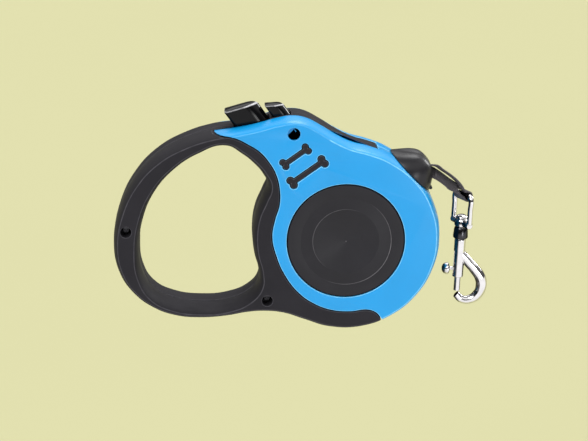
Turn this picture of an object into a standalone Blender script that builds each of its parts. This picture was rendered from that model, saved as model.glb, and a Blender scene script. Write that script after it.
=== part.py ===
"""Retractable tape leash: two half shells with a D handle, cover plates, a sprung reel with a
ratchet brake, and a swivelling bolt snap.  Lengths below are millimetres in the leash's own
layout: the reel axis is x = z = 0, +X points to the nozzle, +Z up and -Y to the front."""
import math

import bmesh
import bpy
from mathutils import Matrix, Vector

MM = 0.001                      # one millimetre in scene units

# Body
HALF_DEPTH = 15.0               # half of the casing's thickness
FLAT_RIM = 5.3                  # half-width of the flat band round the rim
CROWN = 2.2                     # how far the rim falls from that band to the faces
GAP = 0.3                       # between pieces that touch
PARTING = GAP / 2
COVER = 1.8                     # thickness of the cover plates
WALL_FRONT = 10.9               # inner half-depth of the shells
CAVITY_RADIUS = 40.0
DISC_RADIUS = 28.0
GRIP = (-105.0, 0.0, 5.0)       # middle of the grip, the leash's origin
STRIP_ENDS = (-74.5, 15.5)      # the black strip let into the covers along the top
STRIP_HEIGHTS = (38.0, 78.0)
STRIP_RIDGE = [(-76.0, 2.0), (10.0, 2.0), (10.0, 4.1), (-12.0, 10.5), (-76.0, 10.5)]
POST_RADIUS = 2.5               # screw posts and the axle's bosses inside the shells
BOSS_RADIUS = 7.5
BOSS_FACE = 8.7
SOCKET_DEPTH = 10.7
SEAT_RADIUS = 2.65              # room for the screw heads: seen ones and hidden ones
HIDDEN_SEAT_RADIUS = 2.4
SCREW_CLEARANCE = 1.5
SCREW_PILOT = 1.3
PILOT_END = 9.0

# Nozzle
NOZZLE_ANGLE = math.radians(43.6)
NOZZLE_BASE = 44.4              # distance of the nozzle's base from the reel axis
NOZZLE_HEIGHT = 10.0
NOZZLE_HALF_WIDTH = 12.6
NOZZLE_UP = 14.2                # from its middle to its upper and lower ends
NOZZLE_DOWN = 12.8

# Reel
AXLE_RADIUS = 4.0
HUB_OUTER = 19.5
HUB_INNER = 17.8
WINDING_RADIUS = 31.0
RATCHET_TIP = 36.5
RATCHET_ROOT = 32.3
TOOTH_COUNT = 18
TOOTH_FACE = math.radians(139.0)
WEB = (-8.2, -6.2)              # the toothed flange, front and rear
TAPE_WIDTH = 10.0
TAPE_THICK = 1.0
TAPE_HEIGHT = WINDING_RADIUS + 0.9
TAPE_FIT = 0.35                 # slack between the tape's loop and the eye's bar
TAPE_BEND = Vector((42.6, 0, TAPE_HEIGHT - 1.5))
HUB = (-7.6, 5.5)               # the hub's front and rear ends, then the pieces on it
FLANGE = (5.8, 7.2)
FLANGE_RADIUS = 34.0
LID = (4.0, 5.5)
AXLE_HALF = 10.4
MAINSPRING = (-5.8, 3.6)
MAINSPRING_TURNS = 5
MAINSPRING_THICK = 0.5

# Buttons: both travel along PRESS
PRESS_ANGLE = math.radians(-54.5)
PRESS = Vector((math.cos(PRESS_ANGLE), 0, math.sin(PRESS_ANGLE)))
ACROSS = Vector((-PRESS.z, 0, PRESS.x))
BRAKE_AT = Vector((-46.5, 0, 58.6))
LOCK_AT = Vector((-31.0, 0, 60.8))
BRAKE_HALF = 4.7                # half of each button's thickness
LOCK_HALF = 3.9
BRAKE_TRAVEL = 4.0
LOCK_TRAVEL = 2.5
BUTTON_ROOM = 0.4               # free space round a button
STOP_ROOM = 0.6                 # and under it when it is pressed home
STEM_AT = -2.7                  # the brake stem's place ACROSS from BRAKE_AT
STEM_ROOM = (-5.1, 6.3)         # its room, ACROSS from STEM_AT
STEM_ROOM_END = 45.0
STEM_ROOM_HALF = 10.6
SHELF = (30.5, 32.5)            # the brake spring's seat, along PRESS
SHELF_ROOM = 0.4                # between the shelf and the stem room's sides
PAWL_TIP = 37.3                 # along PRESS from BRAKE_AT
STEM = (6.0, 20.0)              # ranges along PRESS of the brake's stem, foot and spring
STEM_HALF = 3.5
FOOT = (12.0, 19.6)
FOOT_HALF = 3.1
BRAKE_COIL = (20.3, 30.2)
PAWL = [(-2.6, 13.0), (2.6, 13.0), (2.6, 32.0), (1.1, 35.0), (1.1, PAWL_TIP),
        (-1.1, PAWL_TIP), (-1.1, 35.0), (-2.6, 32.0)]
PAWL_REAR = -5.9
COIL_FIT = 0.2                  # between a spring's end and the piece it pushes on

# Button sides as (ACROSS, PRESS) pairs from BRAKE_AT and LOCK_AT, round from the lower left
BRAKE_CAP = [(-7.4, 7.2), (-7.4, -9.0), (-0.4, -6.6), (6.2, -4.3), (7.4, -3.2), (8.0, -1.2),
             (8.0, 7.2)]
LOCK_CAP = [(-4.0, 4.4), (-4.0, -7.3), (1.7, -3.9), (2.9, -3.0), (3.5, -1.4), (3.5, 4.4)]

# Snap hook, in its own frame: origin on the eye's bar, the shank along -Z
HOOK_AT = (58.2, 0.0, 18.2)
HOOK_LEAN = math.radians(2.3)
EYE_TURN = math.radians(26.6)
EYE_HALF = 6.7
BAR_RADIUS = 1.4
BOLT_RADIUS = 1.55
SHANK_RADIUS = 2.7
SHANK_END = -42.0
BOSS = (-16.0, -12.0)           # the eye's drilled boss, along the shank's axis
BOSS_OUTER = 3.4
BOSS_BORE = 1.9
POST_END = -13.0
YOKE_AT = -14.2
YOKE_SIZE = (2.8, 3.6)
COLLAR = (-21.0, -16.3)
COLLAR_RADIUS = 3.3
PIVOT_RADIUS = 1.55
RIVET = (-11.7, -10.2)
RIVET_RADII = (2.9, 1.8)
BOLT_RUN = (-49.3, -29.0)
BORE_RUN = (-50.0, -21.5)
KNOB_AT = -38.0
KNOB_RUN = (-4.6, -8.0)
KNOB_RADII = (2.9, 2.3)
KNOB_SLOT = (6.0, 2.6, 12.2)
KNOB_SLOT_AT = (-3.0, 0, -34.9)
HOOK_COIL = (-28.6, -21.9)

SCREWS = [(-24.9, 53.3), (-37.9, -29.8), (28.6, -28.6), (10.4, 39.0), (-105.2, 6.0)]
HEAD_SEAT = -8.6                # y of the screw heads' undersides
OPEN_SCREWS = (0, 1, 4)         # seen from the front; the others are under the cover

OUTER = [(21.5, 40.6), (35.2, 29.6), (43.2, 15.7), (46.0, 0.0), (43.2, -15.7), (35.2, -29.6),
         (23.0, -39.8), (8.0, -45.3), (-8.0, -45.1), (-20.5, -41.0), (-30.0, -37.7),
         (-38.5, -36.6), (-47.5, -37.0), (-57.0, -38.6), (-70.0, -39.4), (-82.0, -38.2),
         (-93.0, -34.0), (-103.0, -26.0), (-109.5, -15.0), (-111.5, -1.0), (-108.5, 15.0),
         (-101.0, 30.0), (-90.0, 41.5), (-77.0, 48.8), (-63.0, 53.2), (-52.0, 54.8),
         (-42.0, 56.8), (-33.0, 59.2), (-25.0, 60.3), (-19.0, 59.2), (-11.8, 55.4),
         (-4.6, 50.9), (2.6, 47.4), (11.5, 44.8)]

OPENING = [(-57.0, 46.8), (-50.0, 43.0), (-44.0, 38.0), (-39.6, 32.6), (-37.4, 27.3),
           (-39.6, 21.0), (-43.0, 13.0), (-44.6, 3.5), (-44.0, -7.0), (-41.9, -16.0),
           (-42.2, -23.0), (-47.5, -29.3), (-57.0, -33.2), (-70.0, -34.2), (-83.0, -32.2),
           (-92.5, -27.0), (-98.0, -17.5), (-99.3, -4.0), (-97.0, 11.0), (-91.0, 24.5),
           (-82.0, 35.0), (-70.0, 43.0)]

# The cover plate's inner edge, from the tip under the buttons to the foot; the rest runs
# outside the body, which trims it.
PLATE = [(-64.0, 53.8), (-60.5, 52.7), (-53.4, 51.7), (-46.3, 48.2), (-41.0, 44.6),
         (-36.5, 39.2), (-33.7, 34.0), (-31.9, 26.5), (-32.0, 18.4), (-34.2, 11.0),
         (-35.5, 2.3), (-33.7, -6.6), (-29.8, -16.3), (-22.7, -26.2), (-15.6, -31.6),
         (-7.5, -35.0), (2.0, -36.1), (11.2, -35.4), (15.2, -37.1), (17.7, -40.4),
         (20.0, -50.0), (52.0, -40.0), (55.0, 20.0), (30.0, 60.0), (-20.0, 75.0),
         (-60.0, 68.0), (-65.3, 57.0)]

BONES = [((-24.2, 42.3), 13.0, 1.35, 0.95), ((-18.5, 34.7), 18.0, 1.55, 1.05)]
BONE_TILT = math.radians(35.3)

COLOURS = {
    "cover": ((0.033, 0.434, 0.956), 0.35, 0.0),
    "black_plastic": ((0.030, 0.028, 0.032), 0.5, 0.0),
    "gloss_button": ((0.012, 0.012, 0.014), 0.12, 0.0),
    "reel": ((0.60, 0.60, 0.58), 0.45, 0.0),
    "spring": ((0.45, 0.47, 0.50), 0.3, 1.0),
    "tape": ((0.055, 0.048, 0.052), 0.85, 0.0),
    "chrome": ((0.83, 0.82, 0.83), 0.08, 1.0),
    "screw": ((0.12, 0.12, 0.13), 0.35, 1.0),
}


# ---------------------------------------------------------------- scene and small helpers
def clear_scene():
    for old in list(bpy.data.objects):
        bpy.data.objects.remove(old, do_unlink=True)


def new_collection(name):
    collection = bpy.data.collections.new(name)
    bpy.context.scene.collection.children.link(collection)
    return collection


def make_materials():
    made = {}
    for name, (colour, roughness, metallic) in COLOURS.items():
        material = bpy.data.materials.new(name)
        material.use_nodes = True
        shader = material.node_tree.nodes["Principled BSDF"]
        shader.inputs["Base Color"].default_value = (*colour, 1.0)
        shader.inputs["Roughness"].default_value = roughness
        shader.inputs["Metallic"].default_value = metallic
        made[name] = material
    return made


def joint_frame(name, at, parent, turn=(0.0, 0.0, 0.0)):
    empty = bpy.data.objects.new(name, None)
    empty.location = Vector(at) * MM
    empty.rotation_euler = turn
    empty.parent = parent
    PARTS.objects.link(empty)
    return empty


def hold(piece, frame, keep_place=True):
    """Parent a piece to an empty; keep_place leaves it where the leash's layout has it."""
    piece.parent = frame
    if keep_place and frame is not LEASH:
        piece.matrix_parent_inverse = frame.matrix_basis.inverted()
    return piece


def finish(piece, material, frame):
    """Make a shape one of the leash's own parts."""
    for collection in list(piece.users_collection):
        collection.objects.unlink(piece)
    PARTS.objects.link(piece)
    piece.data.materials.clear()
    piece.data.materials.append(MATERIALS[material])
    piece.data.shade_smooth()
    piece.data.set_sharp_from_angle(angle=math.radians(35))
    in_own_frame = frame in HOOK_FRAMES
    return hold(piece, frame, keep_place=not in_own_frame)


def link_tool(piece, frame=None):
    """Keep a shape out of the part: it only cuts or joins others."""
    TOOLS.objects.link(piece)
    piece.hide_render = True
    piece.display_type = "WIRE"
    piece.parent = frame or LEASH
    return piece


def combine(target, tool, operation="DIFFERENCE"):
    boolean = target.modifiers.new(tool.name, "BOOLEAN")
    boolean.object = tool
    boolean.operation = operation
    boolean.solver = "EXACT"
    return target


def closed_mesh(name, bm):
    bmesh.ops.remove_doubles(bm, verts=bm.verts, dist=0.000001)
    bmesh.ops.recalc_face_normals(bm, faces=bm.faces)
    mesh = bpy.data.meshes.new(name)
    bm.to_mesh(mesh)
    bm.free()
    return mesh


def mesh_from_curve(name, curve, matrix, remap=None):
    """Freeze a curve as a closed mesh in the layout; remap moves each point afterwards."""
    carrier = bpy.data.objects.new(name, curve)
    carrier.matrix_world = matrix
    bpy.context.scene.collection.objects.link(carrier)
    evaluated = carrier.evaluated_get(bpy.context.evaluated_depsgraph_get())
    raw = bpy.data.meshes.new_from_object(evaluated)
    bm = bmesh.new()
    bm.from_mesh(raw)
    bmesh.ops.transform(bm, matrix=carrier.matrix_world, verts=bm.verts)
    if remap:
        for vert in bm.verts:
            vert.co = remap(vert.co)
    bpy.data.objects.remove(carrier)
    bpy.data.meshes.remove(raw)
    return bpy.data.objects.new(name, closed_mesh(name, bm))


# ---------------------------------------------------------------- shapes
def circle(x, z, radius, steps=24):
    turns = [2 * math.pi * k / steps for k in range(steps)]
    return [(x + radius * math.cos(a), z + radius * math.sin(a)) for a in turns]


def add_outline(curve, points, smooth):
    if smooth:
        spline = curve.splines.new("BEZIER")
        spline.bezier_points.add(len(points) - 1)
        for knot, (x, z) in zip(spline.bezier_points, points):
            knot.co = (x * MM, z * MM, 0)
            knot.handle_left_type = "AUTO"
            knot.handle_right_type = "AUTO"
    else:
        spline = curve.splines.new("POLY")
        spline.points.add(len(points) - 1)
        for knot, (x, z) in zip(spline.points, points):
            knot.co = (x * MM, z * MM, 0, 1)
    spline.use_cyclic_u = True


def plate(name, outlines, front, rear, smooth=False, grow=0.0):
    """A flat outline in the XZ plane, from y = front to y = rear."""
    curve = bpy.data.curves.new(name, "CURVE")
    curve.dimensions = "2D"
    curve.fill_mode = "BOTH"
    curve.resolution_u = 3
    curve.extrude = (rear - front) / 2 * MM
    curve.offset = grow * MM
    for points in outlines:
        add_outline(curve, points, smooth)
    middle = Vector((0, (front + rear) / 2 * MM, 0))
    stand = Matrix.Translation(middle) @ Matrix.Rotation(math.pi / 2, 4, "X")
    return mesh_from_curve(name, curve, stand)


def body_form(name, inset=0.0):
    """The whole leash body: its outline with the hand opening, and a crowned rim."""
    curve = bpy.data.curves.new(name, "CURVE")
    curve.dimensions = "2D"
    curve.fill_mode = "BOTH"
    curve.resolution_u = 3
    curve.extrude = FLAT_RIM * MM
    curve.bevel_depth = CROWN * MM
    curve.bevel_resolution = 1
    curve.offset = -(CROWN + inset) * MM
    add_outline(curve, OUTER, smooth=True)
    add_outline(curve, OPENING, smooth=True)
    reach = HALF_DEPTH - inset

    def crown_to_face(point):
        beyond = abs(point.y) - FLAT_RIM * MM
        if beyond > 0:
            depth = FLAT_RIM * MM + beyond * (reach - FLAT_RIM) / CROWN
            point.y = math.copysign(depth, point.y)
        return point

    return mesh_from_curve(name, curve, Matrix.Rotation(math.pi / 2, 4, "X"), crown_to_face)


def box(name, size, at=(0, 0, 0), turn=None):
    bm = bmesh.new()
    bmesh.ops.create_cube(bm, size=1.0)
    bmesh.ops.scale(bm, vec=Vector(size) * MM, verts=bm.verts)
    if turn:
        bmesh.ops.transform(bm, matrix=turn, verts=bm.verts)
    bmesh.ops.translate(bm, vec=Vector(at) * MM, verts=bm.verts)
    return bpy.data.objects.new(name, closed_mesh(name, bm))


def rod(name, radius, start, end, steps=20, end_radius=None):
    """A cylinder or cone between two points of the layout."""
    start, end = Vector(start), Vector(end)
    run = end - start
    bm = bmesh.new()
    top = radius if end_radius is None else end_radius
    bmesh.ops.create_cone(bm, cap_ends=True, segments=steps, radius1=radius * MM,
                          radius2=top * MM, depth=run.length * MM)
    aim = run.to_track_quat("Z", "Y").to_matrix().to_4x4()
    bmesh.ops.transform(bm, matrix=aim, verts=bm.verts)
    bmesh.ops.translate(bm, vec=(start + end) / 2 * MM, verts=bm.verts)
    return bpy.data.objects.new(name, closed_mesh(name, bm))


def turned(name, profile, steps):
    """A profile of (radius, y) points, listed from its rear outer corner, turned about Y."""
    mesh = bpy.data.meshes.new(name)
    points = [(radius * MM, y * MM, 0) for radius, y in profile]
    edges = [(k, (k + 1) % len(points)) for k in range(len(points))]
    mesh.from_pydata(points, edges, [])
    piece = bpy.data.objects.new(name, mesh)
    screw = piece.modifiers.new("Turn", "SCREW")
    screw.axis = "Y"
    screw.steps = steps
    screw.render_steps = steps
    screw.use_merge_vertices = True
    screw.merge_threshold = 0.00001
    return piece


def along(origin, press, across=0.0, y=0.0):
    """A point of the button mechanism: so far along PRESS and ACROSS from its origin."""
    point = origin + PRESS * press + ACROSS * across
    return Vector((point.x, y, point.z))


def press_box(name, origin, press, across, depth):
    """A box square to PRESS, given its ranges along PRESS, ACROSS and Y."""
    size = (press[1] - press[0], depth[1] - depth[0], across[1] - across[0])
    at = along(origin, sum(press) / 2, sum(across) / 2, sum(depth) / 2)
    turn = Matrix.Rotation(-PRESS_ANGLE, 4, "Y")
    return box(name, size, at, turn)


def coil(name, start, end, radius, wire, turns):
    """A compression spring: a wire on a helix from start to end."""
    start, end = Vector(start), Vector(end)
    run = end - start
    aim = run.to_track_quat("Z", "Y")
    steps = int(turns * 9)
    curve = bpy.data.curves.new(name, "CURVE")
    curve.dimensions = "3D"
    curve.bevel_depth = wire * MM
    curve.bevel_resolution = 0
    curve.use_fill_caps = True
    spline = curve.splines.new("POLY")
    spline.points.add(steps)
    for k, knot in enumerate(spline.points):
        angle = 2 * math.pi * turns * k / steps
        lift = wire + (run.length - 2 * wire) * k / steps
        local = Vector((radius * math.cos(angle), radius * math.sin(angle), lift))
        knot.co = ((start + aim @ local) * MM).to_4d()
        knot.co[3] = 1
    return mesh_from_curve(name, curve, Matrix.Identity(4))


def bone(centre, length, lobe, shaft, grow=0.0):
    """A bone outline: a straight shaft with two round lobes at each end."""
    lobe, shaft = lobe + grow, shaft + grow
    spread = 0.93 * (lobe - grow)
    half = length / 2
    meet = math.asin(min(spread / lobe, 1.0))
    neck = math.pi + math.asin((spread - shaft) / lobe)
    points = []
    for turn in (0, math.pi):
        for side, first, last in ((-1, -neck, meet), (1, -meet, neck)):
            for k in range(6):
                angle = first + (last - first) * k / 5
                x = half + lobe * math.cos(angle)
                z = side * spread + lobe * math.sin(angle)
                points.append((x * math.cos(turn), z * math.cos(turn)))
    cos, sin = math.cos(BONE_TILT), math.sin(BONE_TILT)
    return [(centre[0] + x * cos - z * sin, centre[1] + x * sin + z * cos) for x, z in points]


# ---------------------------------------------------------------- casing
def side_range(side, near, far):
    """Front and rear limits of a stretch of depth on one side of the parting plane."""
    return (near, far) if side > 0 else (-far, -near)


def cover_region(side, name, grow=0.0):
    """The plate's outline through one half, less the strip along the top."""
    region = plate(name, [PLATE], *side_range(side, PARTING + GAP / 2 - grow, 20), grow=grow)
    left, right = STRIP_ENDS
    low, high = STRIP_HEIGHTS
    strip_size = (right - left - 2 * grow, 2 * (FLAT_RIM - grow), high - low - 2 * grow)
    strip = box(name + "_strip", strip_size, ((left + right) / 2, 0, (low + high) / 2))
    combine(region, link_tool(strip))
    if side > 0:
        combine(region, link_tool(strip_ridge(name + "_ridge", grow)))
    return region


def strip_ridge(name, grow):
    """The strip's wider part on the rear side, which narrows toward its right end."""
    bm = bmesh.new()
    rings = []
    for height in (STRIP_HEIGHTS[0] - 0.5, STRIP_HEIGHTS[1] + 0.5):
        rings.append([bm.verts.new((x * MM, (y - grow if y > 2 else y) * MM, height * MM))
                      for x, y in STRIP_RIDGE])
    bm.faces.new(rings[0])
    bm.faces.new(rings[1])
    for k in range(len(STRIP_RIDGE)):
        step = (k + 1) % len(STRIP_RIDGE)
        bm.faces.new((rings[0][k], rings[0][step], rings[1][step], rings[1][k]))
    return bpy.data.objects.new(name, closed_mesh(name, bm))


def nozzle_side(name, distance):
    """A block beyond a plane square to the nozzle's direction."""
    turn = Matrix.Rotation(-NOZZLE_ANGLE, 4, "Y")
    reach = distance + 15
    at = (reach * math.cos(NOZZLE_ANGLE), 0, reach * math.sin(NOZZLE_ANGLE))
    return box(name, (30, 40, 60), at, turn)


def cut_tape_mouth(piece, name):
    mouth = box(name + "_tape_mouth", (34, 12, 3.2), (37, 0, TAPE_HEIGHT))
    combine(piece, link_tool(mouth))


def build_covers():
    for side, name in ((-1, "front_cover"), (1, "rear_cover")):
        cover = body_form(name)
        region = link_tool(cover_region(side, name + "_region"))
        inner = link_tool(body_form(name + "_inside", COVER))
        combine(cover, region, "INTERSECT")
        combine(cover, inner)
        combine(cover, link_tool(nozzle_side(name + "_nozzle_cut", NOZZLE_BASE - GAP)))
        cut_tape_mouth(cover, name)
        face = side_range(side, WALL_FRONT, 20)
        hole = plate(name + "_disc_hole", [circle(0, 0, DISC_RADIUS + GAP, 48)], *face)
        combine(cover, link_tool(hole))
        for number, spec in enumerate(BONES):
            combine(cover, link_tool(plate(f"{name}_bone_{number}", [bone(*spec, GAP)], *face)))
        screw_hole = plate(name + "_screw_hole", [circle(*SCREWS[0], 2.9, 20)], *face)
        combine(cover, link_tool(screw_hole))
        finish(cover, "cover", LEASH)


def add_pocket(shell, side, name):
    """Sink the cover's seat into a shell, leaving the bones standing."""
    pocket = cover_region(side, name + "_pocket", GAP)
    combine(pocket, link_tool(body_form(name + "_seat", COVER + GAP)))
    face = side_range(side, WALL_FRONT, HALF_DEPTH - 0.1)
    for number, spec in enumerate(BONES):
        combine(pocket, link_tool(plate(f"{name}_bone_{number}", [bone(*spec)], *face)))
    combine(shell, link_tool(pocket))


def button_room(name, origin, cap, half, travel):
    """The slot that a button slides in, open at the top."""
    across = [pair[0] for pair in cap]
    left, right = min(across) - BUTTON_ROOM, max(across) + BUTTON_ROOM
    floor = cap[0][1] + travel + STOP_ROOM
    sides = press_outline(origin, [(left, floor), (left, -16), (right, -16), (right, floor)])
    return plate(name, [sides], -half - BUTTON_ROOM, half + BUTTON_ROOM)


def add_mechanism_room(shell, name):
    """The button slots in the top, and the room for the brake's stem, pawl and spring."""
    stem_room = press_box(name + "_stem_room", BRAKE_AT, (BRAKE_CAP[0][1], STEM_ROOM_END),
                          (STEM_AT + STEM_ROOM[0], STEM_AT + STEM_ROOM[1]),
                          (-STEM_ROOM_HALF, STEM_ROOM_HALF))
    rooms = [
        button_room(name + "_brake_room", BRAKE_AT, BRAKE_CAP, BRAKE_HALF, BRAKE_TRAVEL),
        button_room(name + "_lock_room", LOCK_AT, LOCK_CAP, LOCK_HALF, LOCK_TRAVEL),
        stem_room,
    ]
    for room in rooms:
        combine(shell, link_tool(room))


def build_shells():
    for side, name in ((-1, "front_shell"), (1, "rear_shell")):
        shell = body_form(name)
        half = box(name + "_half", (300, 20, 300), (0, side * (10 + PARTING), 0))
        combine(shell, link_tool(half), "INTERSECT")
        add_pocket(shell, side, name)
        combine(shell, link_tool(nozzle_side(name + "_nozzle_cut", NOZZLE_BASE - GAP)))
        depth = (-WALL_FRONT, WALL_FRONT)
        cavity = plate(name + "_cavity", [circle(0, 0, CAVITY_RADIUS, 60)], *depth)
        combine(shell, link_tool(cavity))
        add_mechanism_room(shell, name)
        cut_tape_mouth(shell, name)
        inner = side_range(side, PARTING + 0.1, WALL_FRONT + 0.1)
        for number, (x, z) in enumerate(SCREWS[2:4]):
            post = plate(f"{name}_post_{number}", [circle(x, z, POST_RADIUS, 16)], *inner)
            combine(shell, link_tool(post), "UNION")
        boss_depth = side_range(side, BOSS_FACE, WALL_FRONT + 0.5)
        rings = [circle(0, 0, BOSS_RADIUS, 24)]
        combine(shell, link_tool(plate(name + "_axle_boss", rings, *boss_depth)), "UNION")
        socket = plate(name + "_axle_socket", [circle(0, 0, AXLE_RADIUS + GAP, 24)],
                       -SOCKET_DEPTH, SOCKET_DEPTH)
        combine(shell, link_tool(socket))
        if side > 0:
            width = (STEM_AT + STEM_ROOM[0] + SHELF_ROOM, STEM_AT + STEM_ROOM[1] - SHELF_ROOM)
            shelf = press_box(name + "_spring_shelf", BRAKE_AT, SHELF, width,
                              (-4.5, WALL_FRONT + 0.5))
            combine(shell, link_tool(shelf), "UNION")
        for number, (x, z) in enumerate(SCREWS):
            if side < 0:
                bore = plate(f"{name}_bore_{number}", [circle(x, z, SCREW_CLEARANCE, 14)], -20, 0)
                seen = number in OPEN_SCREWS
                seat = -HALF_DEPTH - 1 if seen else -WALL_FRONT - 3
                ring = circle(x, z, SEAT_RADIUS if seen else HIDDEN_SEAT_RADIUS, 16)
                head = plate(f"{name}_seat_{number}", [ring], seat, HEAD_SEAT + GAP)
                combine(shell, link_tool(head))
            else:
                bore = plate(f"{name}_bore_{number}", [circle(x, z, SCREW_PILOT, 14)], -1, PILOT_END)
            combine(shell, link_tool(bore))
        finish(shell, "black_plastic", LEASH)


def build_discs():
    """The round centre plates: a flat rim, then a shallow two-step dish."""
    back = WALL_FRONT + 2.0 + GAP
    profile = [(DISC_RADIUS, HALF_DEPTH), (DISC_RADIUS, back), (0.0, back),
               (0.0, HALF_DEPTH - 0.7), (16.0, HALF_DEPTH - 0.7), (21.8, HALF_DEPTH)]
    for side, name in ((-1, "front_disc"), (1, "rear_disc")):
        disc = turned(name, [(radius, side * y) for radius, y in profile][::side], 48)
        finish(disc, "black_plastic", LEASH)


def dome(point):
    """Move a point of the unit ball onto the nozzle: its upper side is the flatter one."""
    spread = math.hypot(point.y, point.z)
    lengthwise = (point.z / spread) ** 2 if spread > 0 else 0.0
    upper = point.z > 0
    fall = 2.2 + lengthwise * ((1.5 if upper else 2.0) - 2.2)
    shoulder = 0.7 + lengthwise * ((1.0 if upper else 0.8) - 0.7)
    height = max(1 - min(spread, 1.0) ** fall, 0.0) ** shoulder
    if point.x < 0:
        height = point.x
    reach = NOZZLE_UP if upper else NOZZLE_DOWN
    return Vector((height * NOZZLE_HEIGHT, point.y * NOZZLE_HALF_WIDTH, point.z * reach)) * MM


def build_nozzle():
    bm = bmesh.new()
    bmesh.ops.create_uvsphere(bm, u_segments=24, v_segments=14, radius=1.0)
    for vert in bm.verts:
        vert.co = dome(vert.co)
    bmesh.ops.transform(bm, matrix=Matrix.Rotation(-NOZZLE_ANGLE, 4, "Y"), verts=bm.verts)
    at = Vector((math.cos(NOZZLE_ANGLE), 0, math.sin(NOZZLE_ANGLE))) * NOZZLE_BASE
    bmesh.ops.translate(bm, vec=at * MM, verts=bm.verts)
    nozzle = bpy.data.objects.new("nozzle", closed_mesh("nozzle", bm))
    combine(nozzle, link_tool(nozzle_side("nozzle_base_cut", NOZZLE_BASE)), "INTERSECT")
    mouth = box("nozzle_mouth", (40, 11.4, 5.6), (40, 0, TAPE_HEIGHT - 1.3))
    combine(nozzle, link_tool(mouth))
    finish(nozzle, "black_plastic", LEASH)


def build_screws():
    for number, (x, z) in enumerate(SCREWS):
        name = f"case_screw_{number + 1}"
        screw = turned(name, [(1.05, 8.6), (1.05, HEAD_SEAT), (2.0, HEAD_SEAT),
                              (2.0, HEAD_SEAT - 1.1), (1.4, HEAD_SEAT - 1.7),
                              (0.0, HEAD_SEAT - 1.7), (0.0, 8.6)][::-1], 12)
        frame = joint_frame(name + "_axis", (x, 0, z), LEASH)
        for slot, size in enumerate(((2.4, 1.2, 0.5), (0.5, 1.2, 2.4))):
            drive = box(f"{name}_drive_{slot}", size, (0, HEAD_SEAT - 1.7, 0))
            combine(screw, link_tool(drive, frame))
        finish(screw, "screw", LEASH)
        screw.parent = frame
        screw.matrix_parent_inverse = Matrix.Identity(4)


# ---------------------------------------------------------------- reel
def ratchet_outline():
    points = []
    pitch = 2 * math.pi / TOOTH_COUNT
    for tooth in range(TOOTH_COUNT):
        face = TOOTH_FACE + tooth * pitch
        steps = ((RATCHET_ROOT, 0.0), (RATCHET_TIP, 0.0), (RATCHET_TIP - 0.2, 0.1),
                 (RATCHET_ROOT, 0.55), (RATCHET_ROOT, 0.78))
        for radius, share in steps:
            angle = face + share * pitch
            points.append((radius * math.cos(angle), radius * math.sin(angle)))
    return points


def build_reel():
    bore = circle(0, 0, AXLE_RADIUS + GAP, 20)
    spool = plate("spool", [ratchet_outline(), bore], *WEB)
    hub = plate("spool_hub", [circle(0, 0, HUB_OUTER, 40), circle(0, 0, HUB_INNER, 40)],
                *HUB)
    combine(spool, link_tool(hub), "UNION")
    finish(spool, "reel", REEL)
    flange = plate("spool_flange", [circle(0, 0, FLANGE_RADIUS, 40),
                                    circle(0, 0, HUB_INNER, 40)], *FLANGE)
    finish(flange, "reel", REEL)
    lid = plate("spring_lid", [circle(0, 0, HUB_INNER - GAP, 36), bore], *LID)
    finish(lid, "reel", REEL)
    winding = plate("tape_winding", [circle(0, 0, WINDING_RADIUS, 48),
                                     circle(0, 0, HUB_OUTER + GAP, 40)],
                    -TAPE_WIDTH / 2, TAPE_WIDTH / 2)
    finish(winding, "tape", REEL)


def build_axle():
    axle = rod("axle", AXLE_RADIUS, (0, -AXLE_HALF, 0), (0, AXLE_HALF, 0), 24)
    slot = box("axle_slot", (20, 12.0, 0.9), (5.0, -1.0, 0))
    combine(axle, link_tool(slot))
    finish(axle, "spring", LEASH)


def build_mainspring():
    """A flat spiral, closely wound outside and hooked towards the axle's slot."""
    turns, per_turn = MAINSPRING_TURNS, 16
    first, last = AXLE_RADIUS + 0.6, HUB_INNER - 0.7
    bm = bmesh.new()
    rows = []
    for k in range(turns * per_turn + 1):
        share = k / (turns * per_turn)
        radius = first + (last - first) * share
        angle = 2 * math.pi * turns * share
        x, z = radius * math.cos(angle), radius * math.sin(angle)
        rows.append([bm.verts.new((x * MM, y * MM, z * MM)) for y in MAINSPRING])
    for here, there in zip(rows, rows[1:]):
        bm.faces.new((here[0], here[1], there[1], there[0]))
    mesh = bpy.data.meshes.new("mainspring")
    bm.to_mesh(mesh)
    bm.free()
    spring = bpy.data.objects.new("mainspring", mesh)
    thickness = spring.modifiers.new("Strip", "SOLIDIFY")
    thickness.thickness = MAINSPRING_THICK * MM
    thickness.offset = 0.0
    finish(spring, "spring", LEASH)


# ---------------------------------------------------------------- buttons
def press_outline(origin, pairs):
    """Layout (x, z) points from pairs measured ACROSS and along PRESS."""
    return [(p.x, p.z) for p in (along(origin, press, across) for across, press in pairs)]


def build_brake():
    cap = press_outline(BRAKE_AT, BRAKE_CAP)
    button = plate("brake_button", [cap], -BRAKE_HALF, BRAKE_HALF)
    stem = press_box("brake_stem", BRAKE_AT, STEM, (STEM_AT - STEM_HALF, STEM_AT + STEM_HALF),
                     (-4.5, 4.4))
    foot = press_box("brake_stem_foot", BRAKE_AT, FOOT,
                     (STEM_AT - FOOT_HALF, STEM_AT + FOOT_HALF), (-5.6, -3.5))
    for extra in (stem, foot):
        combine(button, link_tool(extra), "UNION")
    finish(button, "gloss_button", BRAKE)
    pawl_shape = press_outline(BRAKE_AT, [(STEM_AT + side, press) for side, press in PAWL])
    pawl = plate("brake_pawl", [pawl_shape], WEB[0], PAWL_REAR)
    finish(pawl, "spring", BRAKE)
    start, end = (along(BRAKE_AT, press, STEM_AT) for press in BRAKE_COIL)
    spring = coil("brake_spring", start, end, 2.6, 0.35, 5)
    finish(spring, "spring", LEASH)


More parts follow.
